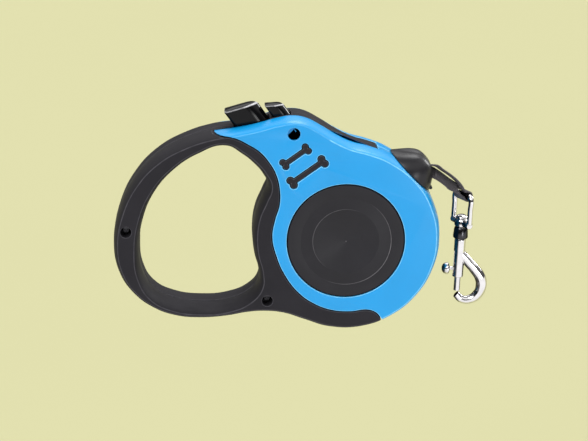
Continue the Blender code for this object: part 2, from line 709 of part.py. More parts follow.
def build_lock():
    cap = press_outline(LOCK_AT, LOCK_CAP)
    button = plate("lock_button", [cap], -LOCK_HALF, LOCK_HALF)
    finish(button, "gloss_button", LOCK)
    floor = LOCK_CAP[0][1]
    middle = (LOCK_CAP[0][0] + LOCK_CAP[-1][0]) / 2
    spring = coil("lock_spring", along(LOCK_AT, floor + COIL_FIT, middle),
                  along(LOCK_AT, floor + LOCK_TRAVEL + STOP_ROOM - COIL_FIT, middle), 2.2, 0.3, 3)
    finish(spring, "spring", LEASH)


# ---------------------------------------------------------------- tape and snap hook
def build_tape_lead():
    """One strip: out of the nozzle, down to the eye, round its bar and back on itself."""
    hook = Vector(HOOK_AT)
    bend = TAPE_BEND
    down = (hook - bend).normalized()
    across_hook = Vector((-math.sin(EYE_TURN), math.cos(EYE_TURN), 0))
    in_plane = (down - across_hook * down.dot(across_hook)).normalized()
    beside = across_hook.cross(in_plane)
    loop = BAR_RADIUS + TAPE_FIT + TAPE_THICK / 2
    spots = [Vector((4.0, 0, TAPE_HEIGHT)), Vector((20.0, 0, TAPE_HEIGHT)),
             Vector((35.0, 0, TAPE_HEIGHT)), Vector((40.0, 0, TAPE_HEIGHT - 0.6)),
             bend + down * 1.6,
             hook - in_plane * 7.5 + beside * 0.68, hook - in_plane * 3.2 + beside * 0.9]
    start = math.radians(125)
    for k in range(9):
        angle = start - (2 * start) * k / 8
        spots.append(hook + (in_plane * math.cos(angle) + beside * math.sin(angle)) * loop)
    spots += [hook - in_plane * 3.2 - beside * 0.9, hook - in_plane * 6.5 - beside * 0.68]
    bm = bmesh.new()
    rows = []
    for spot in spots:
        share = min(max((spot - bend).dot(down) / ((hook - bend).length * 0.8), 0.0), 1.0)
        width = Vector((0, 1, 0)).lerp(across_hook, share).normalized() * TAPE_WIDTH / 2
        rows.append([bm.verts.new((spot - width) * MM), bm.verts.new((spot + width) * MM)])
    for here, there in zip(rows, rows[1:]):
        bm.faces.new((here[0], here[1], there[1], there[0]))
    mesh = bpy.data.meshes.new("tape_lead")
    bm.to_mesh(mesh)
    bm.free()
    tape = bpy.data.objects.new("tape_lead", mesh)
    thickness = tape.modifiers.new("Strap", "SOLIDIFY")
    thickness.thickness = TAPE_THICK * MM
    thickness.offset = 0.0
    finish(tape, "tape", TAPE)


def build_eye():
    """The swivel eye: a bar for the tape, two posts and a yoke with a drilled boss."""
    eye = rod("hook_eye", BAR_RADIUS, (0, -EYE_HALF - 1.0, 0), (0, EYE_HALF + 1.0, 0), 14)
    for side in (-1, 1):
        post = rod(f"hook_post_{side}", BAR_RADIUS * 0.95, (0, side * EYE_HALF, 0.4),
                   (0, side * EYE_HALF, POST_END), 14)
        combine(eye, link_tool(post, EYE), "UNION")
    yoke = box("hook_yoke", (YOKE_SIZE[0], 2 * EYE_HALF + 2.2, YOKE_SIZE[1]), (0, 0, YOKE_AT))
    combine(eye, link_tool(yoke, EYE), "UNION")
    boss = rod("hook_boss", BOSS_OUTER, (0, 0, BOSS[1]), (0, 0, BOSS[0]), 20)
    combine(eye, link_tool(boss, EYE), "UNION")
    bore = rod("hook_boss_bore", BOSS_BORE, (0, 0, BOSS[0] - 4), (0, 0, BOSS[1] + 4), 16)
    combine(eye, link_tool(bore, EYE))
    finish(eye, "chrome", EYE)


def hook_arm():
    """The hook's arm: a swept rod whose thickness falls towards the tip."""
    route = [(1.2, -30.4, 2.2), (4.5, -34.0, 2.3), (8.5, -38.2, 2.4), (11.6, -42.5, 2.5),
             (12.3, -47.0, 2.5), (10.5, -51.6, 2.2), (6.5, -54.4, 1.8), (2.5, -54.0, 1.7),
             (-0.2, -51.2, 1.75)]
    curve = bpy.data.curves.new("hook_arm", "CURVE")
    curve.dimensions = "3D"
    curve.bevel_depth = 1.0 * MM
    curve.bevel_resolution = 2
    curve.resolution_u = 3
    curve.use_fill_caps = True
    spline = curve.splines.new("BEZIER")
    spline.bezier_points.add(len(route) - 1)
    for knot, (x, z, radius) in zip(spline.bezier_points, route):
        knot.co = (x * MM, 0, z * MM)
        knot.radius = radius
        knot.handle_left_type = "AUTO"
        knot.handle_right_type = "AUTO"
    return mesh_from_curve("hook_arm", curve, Matrix.Identity(4))


def build_hook():
    body = rod("hook_body", SHANK_RADIUS, (0, 0, -20.0), (0, 0, SHANK_END), 20)
    collar = rod("hook_collar", COLLAR_RADIUS, (0, 0, COLLAR[1]), (0, 0, COLLAR[0]), 20)
    post = rod("hook_swivel_post", PIVOT_RADIUS, (0, 0, -17.0), (0, 0, -11.0), 16)
    head = rod("hook_rivet_head", RIVET_RADII[0], (0, 0, RIVET[0]), (0, 0, RIVET[1]), 16,
               end_radius=RIVET_RADII[1])
    for extra in (collar, post, head, hook_arm()):
        combine(body, link_tool(extra, SNAP), "UNION")
    bore = rod("hook_bore", BOLT_RADIUS + GAP, (0, 0, BORE_RUN[0]), (0, 0, BORE_RUN[1]), 16)
    combine(body, link_tool(bore, SNAP))
    slot = box("hook_knob_slot", KNOB_SLOT, KNOB_SLOT_AT)
    combine(body, link_tool(slot, SNAP))
    finish(body, "chrome", SNAP)
    bolt = rod("hook_bolt", BOLT_RADIUS, (0, 0, BOLT_RUN[1]), (0, 0, BOLT_RUN[0]), 16)
    neck = rod("hook_knob_neck", 0.95, (0, 0, KNOB_AT), (KNOB_RUN[0] - 1.0, 0, KNOB_AT), 12)
    knob = rod("hook_knob", KNOB_RADII[0], (KNOB_RUN[0], 0, KNOB_AT), (KNOB_RUN[1], 0, KNOB_AT),
               16, end_radius=KNOB_RADII[1])
    for extra in (neck, knob):
        combine(bolt, link_tool(extra, BOLT), "UNION")
    finish(bolt, "chrome", BOLT)
    spring = coil("hook_spring", (0, 0, HOOK_COIL[0]), (0, 0, HOOK_COIL[1]), 1.15, 0.25, 5)
    finish(spring, "spring", SNAP)


# ---------------------------------------------------------------- assembly
clear_scene()
PARTS = new_collection("retractable_leash")
TOOLS = new_collection("cutters")
MATERIALS = make_materials()
LEASH = joint_frame("leash_frame", [-value for value in GRIP], None)
REEL = joint_frame("reel_axis", (0, 0, 0), LEASH)
BRAKE = joint_frame("brake_slide", BRAKE_AT, LEASH)
LOCK = joint_frame("lock_slide", LOCK_AT, LEASH)
TAPE = joint_frame("tape_slide", (0, 0, TAPE_HEIGHT), LEASH)
HANG = joint_frame("hook_hang", HOOK_AT, LEASH, (0.0, HOOK_LEAN, 0.0))
EYE = joint_frame("eye_turn", (0, 0, 0), HANG, (0.0, 0.0, EYE_TURN))
SNAP = joint_frame("snap_swivel", (0, 0, 0), HANG)
BOLT = joint_frame("bolt_slide", (0, 0, 0), SNAP)
HOOK_FRAMES = (EYE, SNAP, BOLT)

build_covers()
build_shells()
build_discs()
build_nozzle()
build_screws()
build_reel()
build_axle()
build_mainspring()
build_brake()
build_lock()
build_tape_lead()
build_eye()
build_hook()
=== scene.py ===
"""Retractable leash, looks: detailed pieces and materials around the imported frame.
Outlines are millimetres in the leash's own layout: the reel axis is x = z = 0, +X points to
the nozzle, +Z up and -Y to the front."""
import math

import bmesh
import bpy
from mathutils import Matrix, Vector
from mathutils.bvhtree import BVHTree

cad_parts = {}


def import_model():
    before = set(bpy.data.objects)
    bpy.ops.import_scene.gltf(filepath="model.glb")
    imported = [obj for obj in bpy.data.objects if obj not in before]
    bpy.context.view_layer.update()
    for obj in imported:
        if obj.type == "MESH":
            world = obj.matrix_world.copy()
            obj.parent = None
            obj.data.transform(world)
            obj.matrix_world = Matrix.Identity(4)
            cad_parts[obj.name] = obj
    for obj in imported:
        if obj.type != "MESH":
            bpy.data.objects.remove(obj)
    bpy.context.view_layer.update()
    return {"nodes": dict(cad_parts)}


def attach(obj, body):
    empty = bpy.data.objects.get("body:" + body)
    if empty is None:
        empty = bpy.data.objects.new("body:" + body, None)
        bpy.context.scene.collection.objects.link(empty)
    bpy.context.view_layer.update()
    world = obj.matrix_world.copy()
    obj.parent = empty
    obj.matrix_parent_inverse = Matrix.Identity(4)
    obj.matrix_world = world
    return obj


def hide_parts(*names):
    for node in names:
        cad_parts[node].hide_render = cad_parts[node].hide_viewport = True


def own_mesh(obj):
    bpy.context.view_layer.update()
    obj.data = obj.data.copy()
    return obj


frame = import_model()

MM = 0.001
GRIP = Vector((-105.0, 0.0, 5.0))       # the frame's origin in the leash's own layout

# Casing
HALF_DEPTH = 15.0
FLAT_RIM = 5.3
CROWN = 2.2
CREST = 0.3                             # how firmly the flank breaks into the face
GAP = 0.3
STRIP_SIZE = (90.0, 40.0)               # the black strip along the top, and its wider rear part
STRIP_AT = (-29.5, 0, 58.0)
STRIP_HEIGHTS = (37.5, 78.5)
STRIP_RIDGE = [(-76.0, 2.0), (10.0, 2.0), (10.0, 4.1), (-12.0, 10.5), (-76.0, 10.5)]
SLIT = 0.13                             # extra width of the slit between the half shells
SEAM = 0.22                             # extra width of the shadow gap round the blue covers
PARTING = GAP / 2
COVER = 1.8
WALL_FRONT = 10.9
CAVITY_RADIUS = 40.0
DISC_RADIUS = 28.0
AXLE_RADIUS = 4.0
SOCKET_DEPTH = 10.7
BOSS_RADIUS = 7.5
BOSS_FACE = 8.7
POST_RADIUS = 2.5
PAST_ALL = 20.0                         # a cut that starts or ends clear of the casing
EDGE = 0.28                             # rounding of the moulded edges
COVER_EDGE = 0.34
NOZZLE_EDGE = 0.35
STRAY = 0.6                             # a rounded vertex moves at most this share of the width
WELD = 0.003
CLOSED_ENDS = 0.6                       # how much a spring's end coils close up
SKIN_SHARE = 0.45                       # share of the cast skins' faces that is kept

OUTER = [(21.5, 40.6), (35.2, 29.6), (43.2, 15.7), (46.0, 0.0), (43.2, -15.7), (35.2, -29.6),
         (23.0, -39.8), (8.0, -45.3), (-8.0, -45.1), (-20.5, -41.0), (-30.0, -37.7),
         (-38.5, -36.6), (-47.5, -37.0), (-57.0, -38.6), (-70.0, -39.4), (-82.0, -38.2),
         (-93.0, -34.0), (-103.0, -26.0), (-109.5, -15.0), (-111.5, -1.0), (-108.5, 15.0),
         (-101.0, 30.0), (-90.0, 41.5), (-77.0, 48.8), (-63.0, 53.2), (-52.0, 54.8),
         (-42.0, 56.8), (-33.0, 59.2), (-25.0, 60.3), (-19.0, 59.2), (-11.8, 55.4),
         (-4.6, 50.9), (2.6, 47.4), (11.5, 44.8)]

OPENING = [(-57.0, 46.8), (-50.0, 43.0), (-44.0, 38.0), (-39.6, 32.6), (-37.4, 27.3),
           (-39.6, 21.0), (-43.0, 13.0), (-44.6, 3.5), (-44.0, -7.0), (-41.9, -16.0),
           (-42.2, -23.0), (-47.5, -29.3), (-57.0, -33.2), (-70.0, -34.2), (-83.0, -32.2),
           (-92.5, -27.0), (-98.0, -17.5), (-99.3, -4.0), (-97.0, 11.0), (-91.0, 24.5),
           (-82.0, 35.0), (-70.0, 43.0)]

PLATE = [(-64.0, 53.8), (-60.5, 52.7), (-53.4, 51.7), (-46.3, 48.2), (-41.0, 44.6),
         (-36.5, 39.2), (-33.7, 34.0), (-31.9, 26.5), (-32.0, 18.4), (-34.2, 11.0),
         (-35.5, 2.3), (-33.7, -6.6), (-29.8, -16.3), (-22.7, -26.2), (-15.6, -31.6),
         (-7.5, -35.0), (2.0, -36.1), (11.2, -35.4), (15.2, -37.1), (17.7, -40.4),
         (20.0, -50.0), (52.0, -40.0), (55.0, 20.0), (30.0, 60.0), (-20.0, 75.0),
         (-60.0, 68.0), (-65.3, 57.0)]
SHARP_FROM = 19                         # from this point of PLATE on, its sides are straight

BONES = [((-24.2, 42.3), 13.0, 1.35, 0.95), ((-18.5, 34.7), 18.0, 1.55, 1.05)]
BONE_TILT = math.radians(35.3)
SCREWS = [(-24.9, 53.3), (-37.9, -29.8), (28.6, -28.6), (10.4, 39.0), (-105.2, 6.0)]
OPEN_SCREWS = (0, 1, 4)
HEAD_SEAT = -8.6
SCREW_HOLE = 3.0
SEAT_RADIUS = 2.65
HIDDEN_SEAT_RADIUS = 2.4
SCREW_CLEARANCE = 1.5
SCREW_PILOT = 1.3
PILOT_END = 9.0

# Nozzle
NOZZLE_ANGLE = math.radians(43.6)
NOZZLE_BASE = 44.4
NOZZLE_HEIGHT = 10.0
NOZZLE_HALF_WIDTH = 12.6
NOZZLE_UP = 14.2
NOZZLE_DOWN = 12.8
TAPE_HEIGHT = 31.9
SLOT_SIZE = (34, 12, 3.2)               # the tape's way through the casing, then the nozzle
MOUTH = (11.4, 6.6)
MOUTH_DROP = 0.8
LUG = (0.75, 2.2)                       # radius and half length
LUG_AT = (42.0, 22.3)

# Buttons
PRESS_ANGLE = math.radians(-54.5)
PRESS = Vector((math.cos(PRESS_ANGLE), 0, math.sin(PRESS_ANGLE)))
ACROSS = Vector((-PRESS.z, 0, PRESS.x))
BRAKE_AT = Vector((-46.5, 0, 58.6))
LOCK_AT = Vector((-31.0, 0, 60.8))
STEM_AT = -2.7
STEM_ROOM = (-5.1, 6.3)
STEM_ROOM_END = 45.0
STEM_ROOM_HALF = 10.6
SHELF = (30.5, 32.5)
SHELF_INSET = 0.4
BRAKE_FLOOR = 7.2
BRAKE_HALF = 4.7
LOCK_FLOOR = 3.9
LOCK_HALF = 3.9
STEM_HALF = 3.5
FOOT_HALF = 3.1
EDGE_ROWS = {3: 0.25, 4: 0.45, 5: 0.45, 6: 0.25}    # the rounded rows coloured paler as a painted highlight
CORNER_GLINT = 1.2                      # how much stronger that painted highlight gets toward the right end

# Snap hook
HOOK_AT = Vector((58.2, 0.0, 18.2))      # the middle of the eye's bar, where heights start
HOOK_LEAN = math.radians(2.3)
EYE_TURN = math.radians(26.6)
EYE_HALF = 6.7
BAR_RADIUS = 1.4
POST_WIDE = 1.35                        # radius of the eye's posts at their ends, then midway
POST_SLIM = 1.3
POST_END = -13.6
EYE_BEND = 1.2
YOKE_HEIGHT = -14.1
BOSS_BORE = 1.9
BORE_RADIUS = 1.85
BOLT_RADIUS = 1.55
KNOB_HEIGHT = -38.0
PAINTED_DARK_SIDE = (-0.46, -0.30)              # painted dark reflection: the plating's colour darkens as its normal's X falls through this
BAR_STRAIGHT = 4.5
TAPE_HALF = 4.7
TAPE_THICK = 0.8
TAPE_FIT = 0.85                         # from the bar's surface to the tape's middle
STITCH_HALF = 3.9
STITCHES = 9
STITCH_LEVEL = 0.42
THREAD_RADIUS = 0.11
WEAVE_END = 0.62                        # spacing of the tape's warp threads, then of its picks
WEAVE_PICK = 0.8
LOOP_SQUEEZE = 0.89                     # the tape gathers a little round the bar

CAMERA_AT = (-63.35, -819.99, 265.48)
CAMERA_AIM = (-24.97, -15.0, 10.89)
CAMERA_LENS = 108.4
FLOOR_COLOUR = (0.509, 0.501, 0.290)
FLOOR_HALF = 14.0                       # metres, as the floor's height is
FLOOR_HEIGHT = -0.45


# ---- mesh helpers
def add(piece):
    bpy.context.scene.collection.objects.link(piece)
    return piece


def mesh_object(name, bm, merge=0.000001):
    bmesh.ops.remove_doubles(bm, verts=bm.verts, dist=merge)
    bmesh.ops.recalc_face_normals(bm, faces=bm.faces)
    mesh = bpy.data.meshes.new(name)
    bm.to_mesh(mesh)
    bm.free()
    return add(bpy.data.objects.new(name, mesh))


def bake(piece):
    """Turn a piece's modifiers into its mesh."""
    evaluated = piece.evaluated_get(bpy.context.evaluated_depsgraph_get())
    made = bpy.data.meshes.new_from_object(evaluated)
    piece.modifiers.clear()
    piece.data = made
    return piece


def combine(target, *tools, operation="DIFFERENCE"):
    """Boolean a piece with each tool in turn; the tools are used up."""
    for tool in tools:
        boolean = target.modifiers.new("Combine", "BOOLEAN")
        boolean.object = tool
        boolean.operation = operation
        boolean.solver = "EXACT"
    bake(target)
    for tool in tools:
        bpy.data.objects.remove(tool)
    return target


def merge_flats(piece):
    """Join the flat fill triangles into whole faces, so that edges round cleanly."""
    bm = bmesh.new()
    bm.from_mesh(piece.data)
    bmesh.ops.dissolve_degenerate(bm, edges=bm.edges, dist=0.01 * MM)
    bmesh.ops.dissolve_limit(bm, angle_limit=math.radians(0.08), verts=bm.verts, edges=bm.edges)
    bm.to_mesh(piece.data)
    bm.free()


def round_edges(piece, width=EDGE):
    """Round the sharp edges, mark the rounded faces for the painted edge highlight and put stray
    vertices back.
    """
    merge_flats(piece)
    bevel = piece.modifiers.new("Edges", "BEVEL")
    bevel.width = width * MM
    bevel.segments = 3
    bevel.limit_method = "ANGLE"
    bevel.angle_limit = math.radians(30)
    bevel.use_clamp_overlap = False
    before = bmesh.new()
    before.from_mesh(piece.data)
    surface = BVHTree.FromBMesh(before)
    piece.data.materials.clear()
    for look in ("cover", "shell"):
        piece.data.materials.append(LOOKS[look])
    bevel.material = 1
    bake(piece)
    for vert in piece.data.vertices:
        spot, _normal, _face, distance = surface.find_nearest(vert.co)
        if distance > width * MM * STRAY:
            vert.co = spot
    before.free()
    clean = bmesh.new()
    clean.from_mesh(piece.data)
    bmesh.ops.remove_doubles(clean, verts=clean.verts, dist=WELD * MM)
    bmesh.ops.dissolve_degenerate(clean, edges=clean.edges, dist=WELD * MM)
    clean.to_mesh(piece.data)
    clean.free()
    mark = piece.data.attributes.new("edge", "FLOAT", "FACE")
    for face, value in zip(piece.data.polygons, mark.data):
        value.value = float(face.material_index)
        face.material_index = 0
    return piece


def smooth(piece, angle=32.0, flat_faces=False):
    """Smooth shading, with the large faces square to the Y axis kept flat."""
    piece.data.shade_smooth()
    if flat_faces:
        for face in piece.data.polygons:
            face.use_smooth = abs(face.normal.y) < 0.9998
    piece.data.set_sharp_from_angle(angle=math.radians(angle))
    return piece


def soften(piece, voxel, rounds=4):
    """Melt a rough union into one cast skin."""
    remesh = piece.modifiers.new("Skin", "REMESH")
    remesh.mode = "VOXEL"
    remesh.voxel_size = voxel * MM
    relax = piece.modifiers.new("Relax", "SMOOTH")
    relax.factor = 0.6
    relax.iterations = rounds
    thin = piece.modifiers.new("Thin", "DECIMATE")
    thin.ratio = SKIN_SHARE
    return bake(piece)


def show(piece, look, body, nodes):
    """Give a finished piece its material, its body and the CAD nodes that it stands for."""
    piece.data.transform(Matrix.Translation(-GRIP * MM))
    piece.data.materials.clear()
    piece.data.materials.append(LOOKS[look])
    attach(piece, body)
    if nodes:
        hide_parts(*nodes)
    return piece


def freeze_curve(name, curve, matrix, remap=None):
    carrier = add(bpy.data.objects.new(name, curve))
    carrier.matrix_world = matrix
    evaluated = carrier.evaluated_get(bpy.context.evaluated_depsgraph_get())
    raw = bpy.data.meshes.new_from_object(evaluated)
    bm = bmesh.new()
    bm.from_mesh(raw)
    bmesh.ops.transform(bm, matrix=matrix, verts=bm.verts)
    if remap:
        for vert in bm.verts:
            vert.co = remap(vert.co)
    bpy.data.objects.remove(carrier)
    bpy.data.meshes.remove(raw)
    return mesh_object(name, bm)


def circle(x, z, radius, steps=40):
    turns = [2 * math.pi * k / steps for k in range(steps)]
    return [(x + radius * math.cos(a), z + radius * math.sin(a)) for a in turns]


def add_outline(curve, points, curved, sharp_from=None):
    if curved:
        spline = curve.splines.new("BEZIER")
        spline.bezier_points.add(len(points) - 1)
        for number, (knot, (x, z)) in enumerate(zip(spline.bezier_points, points)):
            knot.co = (x * MM, z * MM, 0)
            straight = sharp_from is not None and number >= sharp_from
            kind = "VECTOR" if straight else "AUTO"
            knot.handle_left_type = kind
            knot.handle_right_type = kind
    else:
        spline = curve.splines.new("POLY")
        spline.points.add(len(points) - 1)
        for knot, (x, z) in zip(spline.points, points):
            knot.co = (x * MM, z * MM, 0, 1)
    spline.use_cyclic_u = True


def new_curve(name, **settings):
    curve = bpy.data.curves.new(name, "CURVE")
    for key, value in settings.items():
        setattr(curve, key, value)
    return curve


def plate(name, outlines, front, rear, curved=False, grow=0.0, sharp_from=None):
    """A flat outline in the XZ plane, from y = front to y = rear."""
    curve = new_curve(name, dimensions="2D", fill_mode="BOTH", resolution_u=8,
                      extrude=(rear - front) / 2 * MM, offset=grow * MM)
    for points in outlines:
        add_outline(curve, points, curved, sharp_from)
    middle = Vector((0, (front + rear) / 2 * MM, 0))
    stand = Matrix.Translation(middle) @ Matrix.Rotation(math.pi / 2, 4, "X")
    return freeze_curve(name, curve, stand)


def body_form(name, inset=0.0, rings=7):
    """The leash body's outer form with the hand opening and its crowned rim."""
    curve = new_curve(name, dimensions="2D", fill_mode="BOTH", resolution_u=10,
                      extrude=FLAT_RIM * MM, bevel_depth=CROWN * MM, bevel_resolution=rings,
                      offset=-(CROWN + inset) * MM)
    add_outline(curve, OUTER, True)
    add_outline(curve, OPENING, True)
    reach = HALF_DEPTH - inset

    def crown_to_face(point):
        beyond = (abs(point.y) / MM - FLAT_RIM) / CROWN
        if beyond > 0:
            turn = math.asin(min(beyond, 1.0)) / (math.pi / 2)
            share = (1 - CREST) * beyond + CREST * turn
            point.y = math.copysign(FLAT_RIM + (reach - FLAT_RIM) * share, point.y) * MM
        return point

    return freeze_curve(name, curve, Matrix.Rotation(math.pi / 2, 4, "X"), crown_to_face)


def box(name, size, at=(0, 0, 0), turn=None):
    bm = bmesh.new()
    bmesh.ops.create_cube(bm, size=1.0)
    bmesh.ops.scale(bm, vec=Vector(size) * MM, verts=bm.verts)
    if turn:
        bmesh.ops.transform(bm, matrix=turn, verts=bm.verts)
    bmesh.ops.translate(bm, vec=Vector(at) * MM, verts=bm.verts)
    return mesh_object(name, bm)


def rod(name, radius, start, end, steps):
    start, end = Vector(start), Vector(end)
    run = end - start
    bm = bmesh.new()
    bmesh.ops.create_cone(bm, cap_ends=True, segments=steps, radius1=radius * MM,
                          radius2=radius * MM, depth=run.length * MM)
    aim = run.to_track_quat("Z", "Y").to_matrix().to_4x4()
    bmesh.ops.transform(bm, matrix=aim, verts=bm.verts)
    bmesh.ops.translate(bm, vec=(start + end) / 2 * MM, verts=bm.verts)
    return mesh_object(name, bm)


def turned(name, profile, steps, matrix=None):
    """A closed profile of (radius, height) points turned about Z, then placed."""
    bm = bmesh.new()
    rings = []
    for step in range(steps):
        angle = 2 * math.pi * step / steps
        rings.append([bm.verts.new((r * math.cos(angle) * MM, r * math.sin(angle) * MM, h * MM))
                      for r, h in profile])
    count = len(profile) if profile[0][0] else len(profile) - 1
    for here, there in zip(rings, rings[1:] + rings[:1]):
        for k in range(count):
            step = (k + 1) % len(profile)
            bm.faces.new((here[k], there[k], there[step], here[step]))
    if matrix:
        bmesh.ops.transform(bm, matrix=matrix, verts=bm.verts)
    bmesh.ops.remove_doubles(bm, verts=bm.verts, dist=0.0000005)
    bmesh.ops.dissolve_degenerate(bm, edges=bm.edges, dist=0.0000001)
    return mesh_object(name, bm)


# ---- materials
class Look:
    """A Principled material built node by node."""

    def __init__(self, name, colour, roughness, metallic=0.0, **sockets):
        self.material = bpy.data.materials.new(name)
        self.material.use_nodes = True
        self.tree = self.material.node_tree
        self.shader = self.tree.nodes["Principled BSDF"]
        self.colour = colour
        self.set("Base Color", (*colour, 1.0))
        self.set("Roughness", roughness)
        self.set("Metallic", metallic)
        for socket, value in sockets.items():
            self.set(socket.replace("_", " "), value)
        self.place = self.node("ShaderNodeTexCoord").outputs["Object"]
        self.bump_from = None

    def set(self, socket, value):
        self.shader.inputs[socket].default_value = value

    def node(self, kind, **values):
        made = self.tree.nodes.new(kind)
        for key, value in values.items():
            if hasattr(made, key):
                setattr(made, key, value)
            else:
                made.inputs[key.replace("_", " ")].default_value = value
        return made

    def link(self, start, end):
        self.tree.links.new(start, end)
        return end

    def feed(self, value, inlet):
        """Set a socket from a number or colour, or link it to another socket."""
        if hasattr(value, "is_linked"):
            self.link(value, inlet)
        else:
            inlet.default_value = value

    def noise(self, scale, detail=3.0, place=None):
        made = self.node("ShaderNodeTexNoise", Scale=scale, Detail=detail, Roughness=0.55)
        self.link(place or self.place, made.inputs["Vector"])
        return made.outputs["Fac"]

    def spread(self, value, low, high, start=0.3, end=0.7):
        """Map a texture's range start..end onto low..high."""
        made = self.node("ShaderNodeMapRange", From_Min=start, From_Max=end, To_Min=low,
                         To_Max=high)
        self.link(value, made.inputs["Value"])
        return made.outputs["Result"]

    def math(self, operation, first, second):
        made = self.node("ShaderNodeMath", operation=operation)
        self.feed(first, made.inputs[0])
        self.feed(second, made.inputs[1])
        return made.outputs[0]

    def mix(self, factor, first, second):
        made = self.node("ShaderNodeMix", data_type="RGBA")
        self.link(factor, made.inputs["Factor"])
        for socket, value in (("A", first), ("B", second)):
            inlet = [s for s in made.inputs if s.name == socket and s.type == "RGBA"][0]
            self.feed((*value, 1.0) if isinstance(value, tuple) else value, inlet)
        return [s for s in made.outputs if s.type == "RGBA"][0]

    def bump(self, height, strength, distance):
        made = self.node("ShaderNodeBump", Strength=strength, Distance=distance * MM)
        self.link(height, made.inputs["Height"])
        if self.bump_from:
            self.link(self.bump_from, made.inputs["Normal"])
        self.bump_from = made.outputs["Normal"]
        self.link(self.bump_from, self.shader.inputs["Normal"])

    def vary_colour(self, low, high, scale, least_highlight=None, painted_highlight_colour=None):
        """Slow mottling between two shades, and a painted highlight: a paler colour on the faces
        marked as edges.
        """
        dark = tuple(c * low for c in self.colour)
        light = tuple(min(c * high, 1.0) for c in self.colour)
        shade = self.mix(self.spread(self.noise(scale, 4.0), 0.0, 1.0), dark, light)
        if least_highlight:
            # Painted highlight: faces marked as edges take the paler colour, in patches.
            edge = self.node("ShaderNodeAttribute", attribute_name="edge").outputs["Fac"]
            patchy_painted_light = self.math("MULTIPLY", edge, self.spread(self.noise(420.0, 4.0), least_highlight, 1.0))
            shade = self.mix(patchy_painted_light, shade, painted_highlight_colour)
        self.link(shade, self.shader.inputs["Base Color"])

    def vary_roughness(self, low, high, scale):
        smear = self.spread(self.noise(scale, 5.0), low, high)
        self.link(smear, self.shader.inputs["Roughness"])
        return smear


def moulded(name, colour, roughness, grain, gloss_spread, painted_highlight_colour, mottle=0.06, **sockets):
    """Injection-moulded plastic: spark-eroded grain, faint flow mottling, and a painted highlight
    along the rounded edges.
    """
    look = Look(name, colour, roughness, **sockets)
    look.vary_colour(1 - mottle, 1 + mottle, 55.0, least_highlight=0.5, painted_highlight_colour=painted_highlight_colour)
    look.vary_roughness(roughness - gloss_spread, roughness + gloss_spread, 90.0)
    look.bump(look.noise(2600.0, 2.0), grain, 0.05)
    look.bump(look.noise(160.0, 2.0), grain * 0.5, 0.12)
    return look.material


def polished(name, colour, roughness, ripple):
    """Plated die casting: rippled and rubbed, with a painted dark reflection on the side toward
    the casing.
    """
    look = Look(name, colour, roughness, 1.0, Specular_Tint=(0.35, 0.34, 0.34, 1.0))
    # Painted reflection: the base colour goes near black where the normal points toward the
    # casing.
    facing = look.node("ShaderNodeSeparateXYZ")
    look.link(look.node("ShaderNodeTexCoord").outputs["Normal"], facing.inputs["Vector"])
    painted_dark_reflection = look.spread(facing.outputs["X"], 1.0, 0.0, *PAINTED_DARK_SIDE)
    patchy_painted_light = look.math("MULTIPLY", painted_dark_reflection, look.spread(look.noise(500.0), 0.8, 1.0))
    plated = look.mix(look.spread(look.noise(300.0), 0.0, 1.0), tuple(c * 0.93 for c in colour),
                      tuple(min(c * 1.04, 1.0) for c in colour))
    look.link(look.mix(patchy_painted_light, plated, (0.022, 0.020, 0.022)), look.shader.inputs["Base Color"])
    smear = look.spread(look.noise(420.0, 5.0), roughness * 0.6, roughness * 2.0)
    stretched = look.node("ShaderNodeMapping", Scale=(2600.0, 2600.0, 260.0))
    look.link(look.place, stretched.inputs["Vector"])
    scratch = look.spread(look.noise(1.0, 3.0, place=stretched.outputs["Vector"]), 0.0, 0.07,
                          0.6, 0.75)
    look.link(look.math("ADD", smear, scratch), look.shader.inputs["Roughness"])
    look.bump(look.noise(260.0, 2.0), ripple, 0.1)
    return look.material


def steel(name, colour, roughness):
    """Drawn or stamped steel with a fine lay along it and slight tarnish."""
    look = Look(name, colour, roughness, 1.0)
    look.vary_colour(0.8, 1.1, 500.0)
    look.vary_roughness(roughness * 0.7, roughness * 1.4, 900.0)
    lay = look.node("ShaderNodeMapping", Scale=(300.0, 300.0, 6000.0))
    look.link(look.place, lay.inputs["Vector"])
    look.bump(look.noise(1.0, 2.0, place=lay.outputs["Vector"]), 0.15, 0.02)
    return look.material


def webbing(name, colour):
    """Woven tape: picks and ends from the piece's own mm coordinates, fuzz and sheen."""
    look = Look(name, colour, 0.82, Sheen_Weight=0.35, Sheen_Roughness=0.5,
                Sheen_Tint=(0.5, 0.48, 0.5, 1.0), Specular_IOR_Level=0.25)
    grid = look.node("ShaderNodeUVMap").outputs["UV"]
    parts = look.node("ShaderNodeSeparateXYZ")
    look.link(grid, parts.inputs["Vector"])
    across, down = parts.outputs["X"], parts.outputs["Y"]
    ends = look.math("SINE", look.math("MULTIPLY", across, 2 * math.pi / WEAVE_END), 0.0)
    picks = look.math("SINE", look.math("MULTIPLY", down, 2 * math.pi / WEAVE_PICK), 0.0)
    weave = look.math("MULTIPLY", ends, picks)
    ribs = look.math("ABSOLUTE", look.math("SINE", look.math(
        "MULTIPLY", across, math.pi / WEAVE_END), 0.0), 0.0)
    height = look.math("ADD", look.math("MULTIPLY", weave, 0.35), ribs)
    fuzz = look.noise(3800.0, 4.0)
    height = look.math("ADD", height, look.math("MULTIPLY", fuzz, 0.5))
    dark = tuple(c * 0.55 for c in colour)
    light = tuple(c * 1.7 for c in colour)
    shade = look.mix(look.spread(height, 0.0, 1.0, 0.1, 1.5), dark, light)
    look.link(shade, look.shader.inputs["Base Color"])
    look.bump(height, 0.7, 0.12)
    return look.material


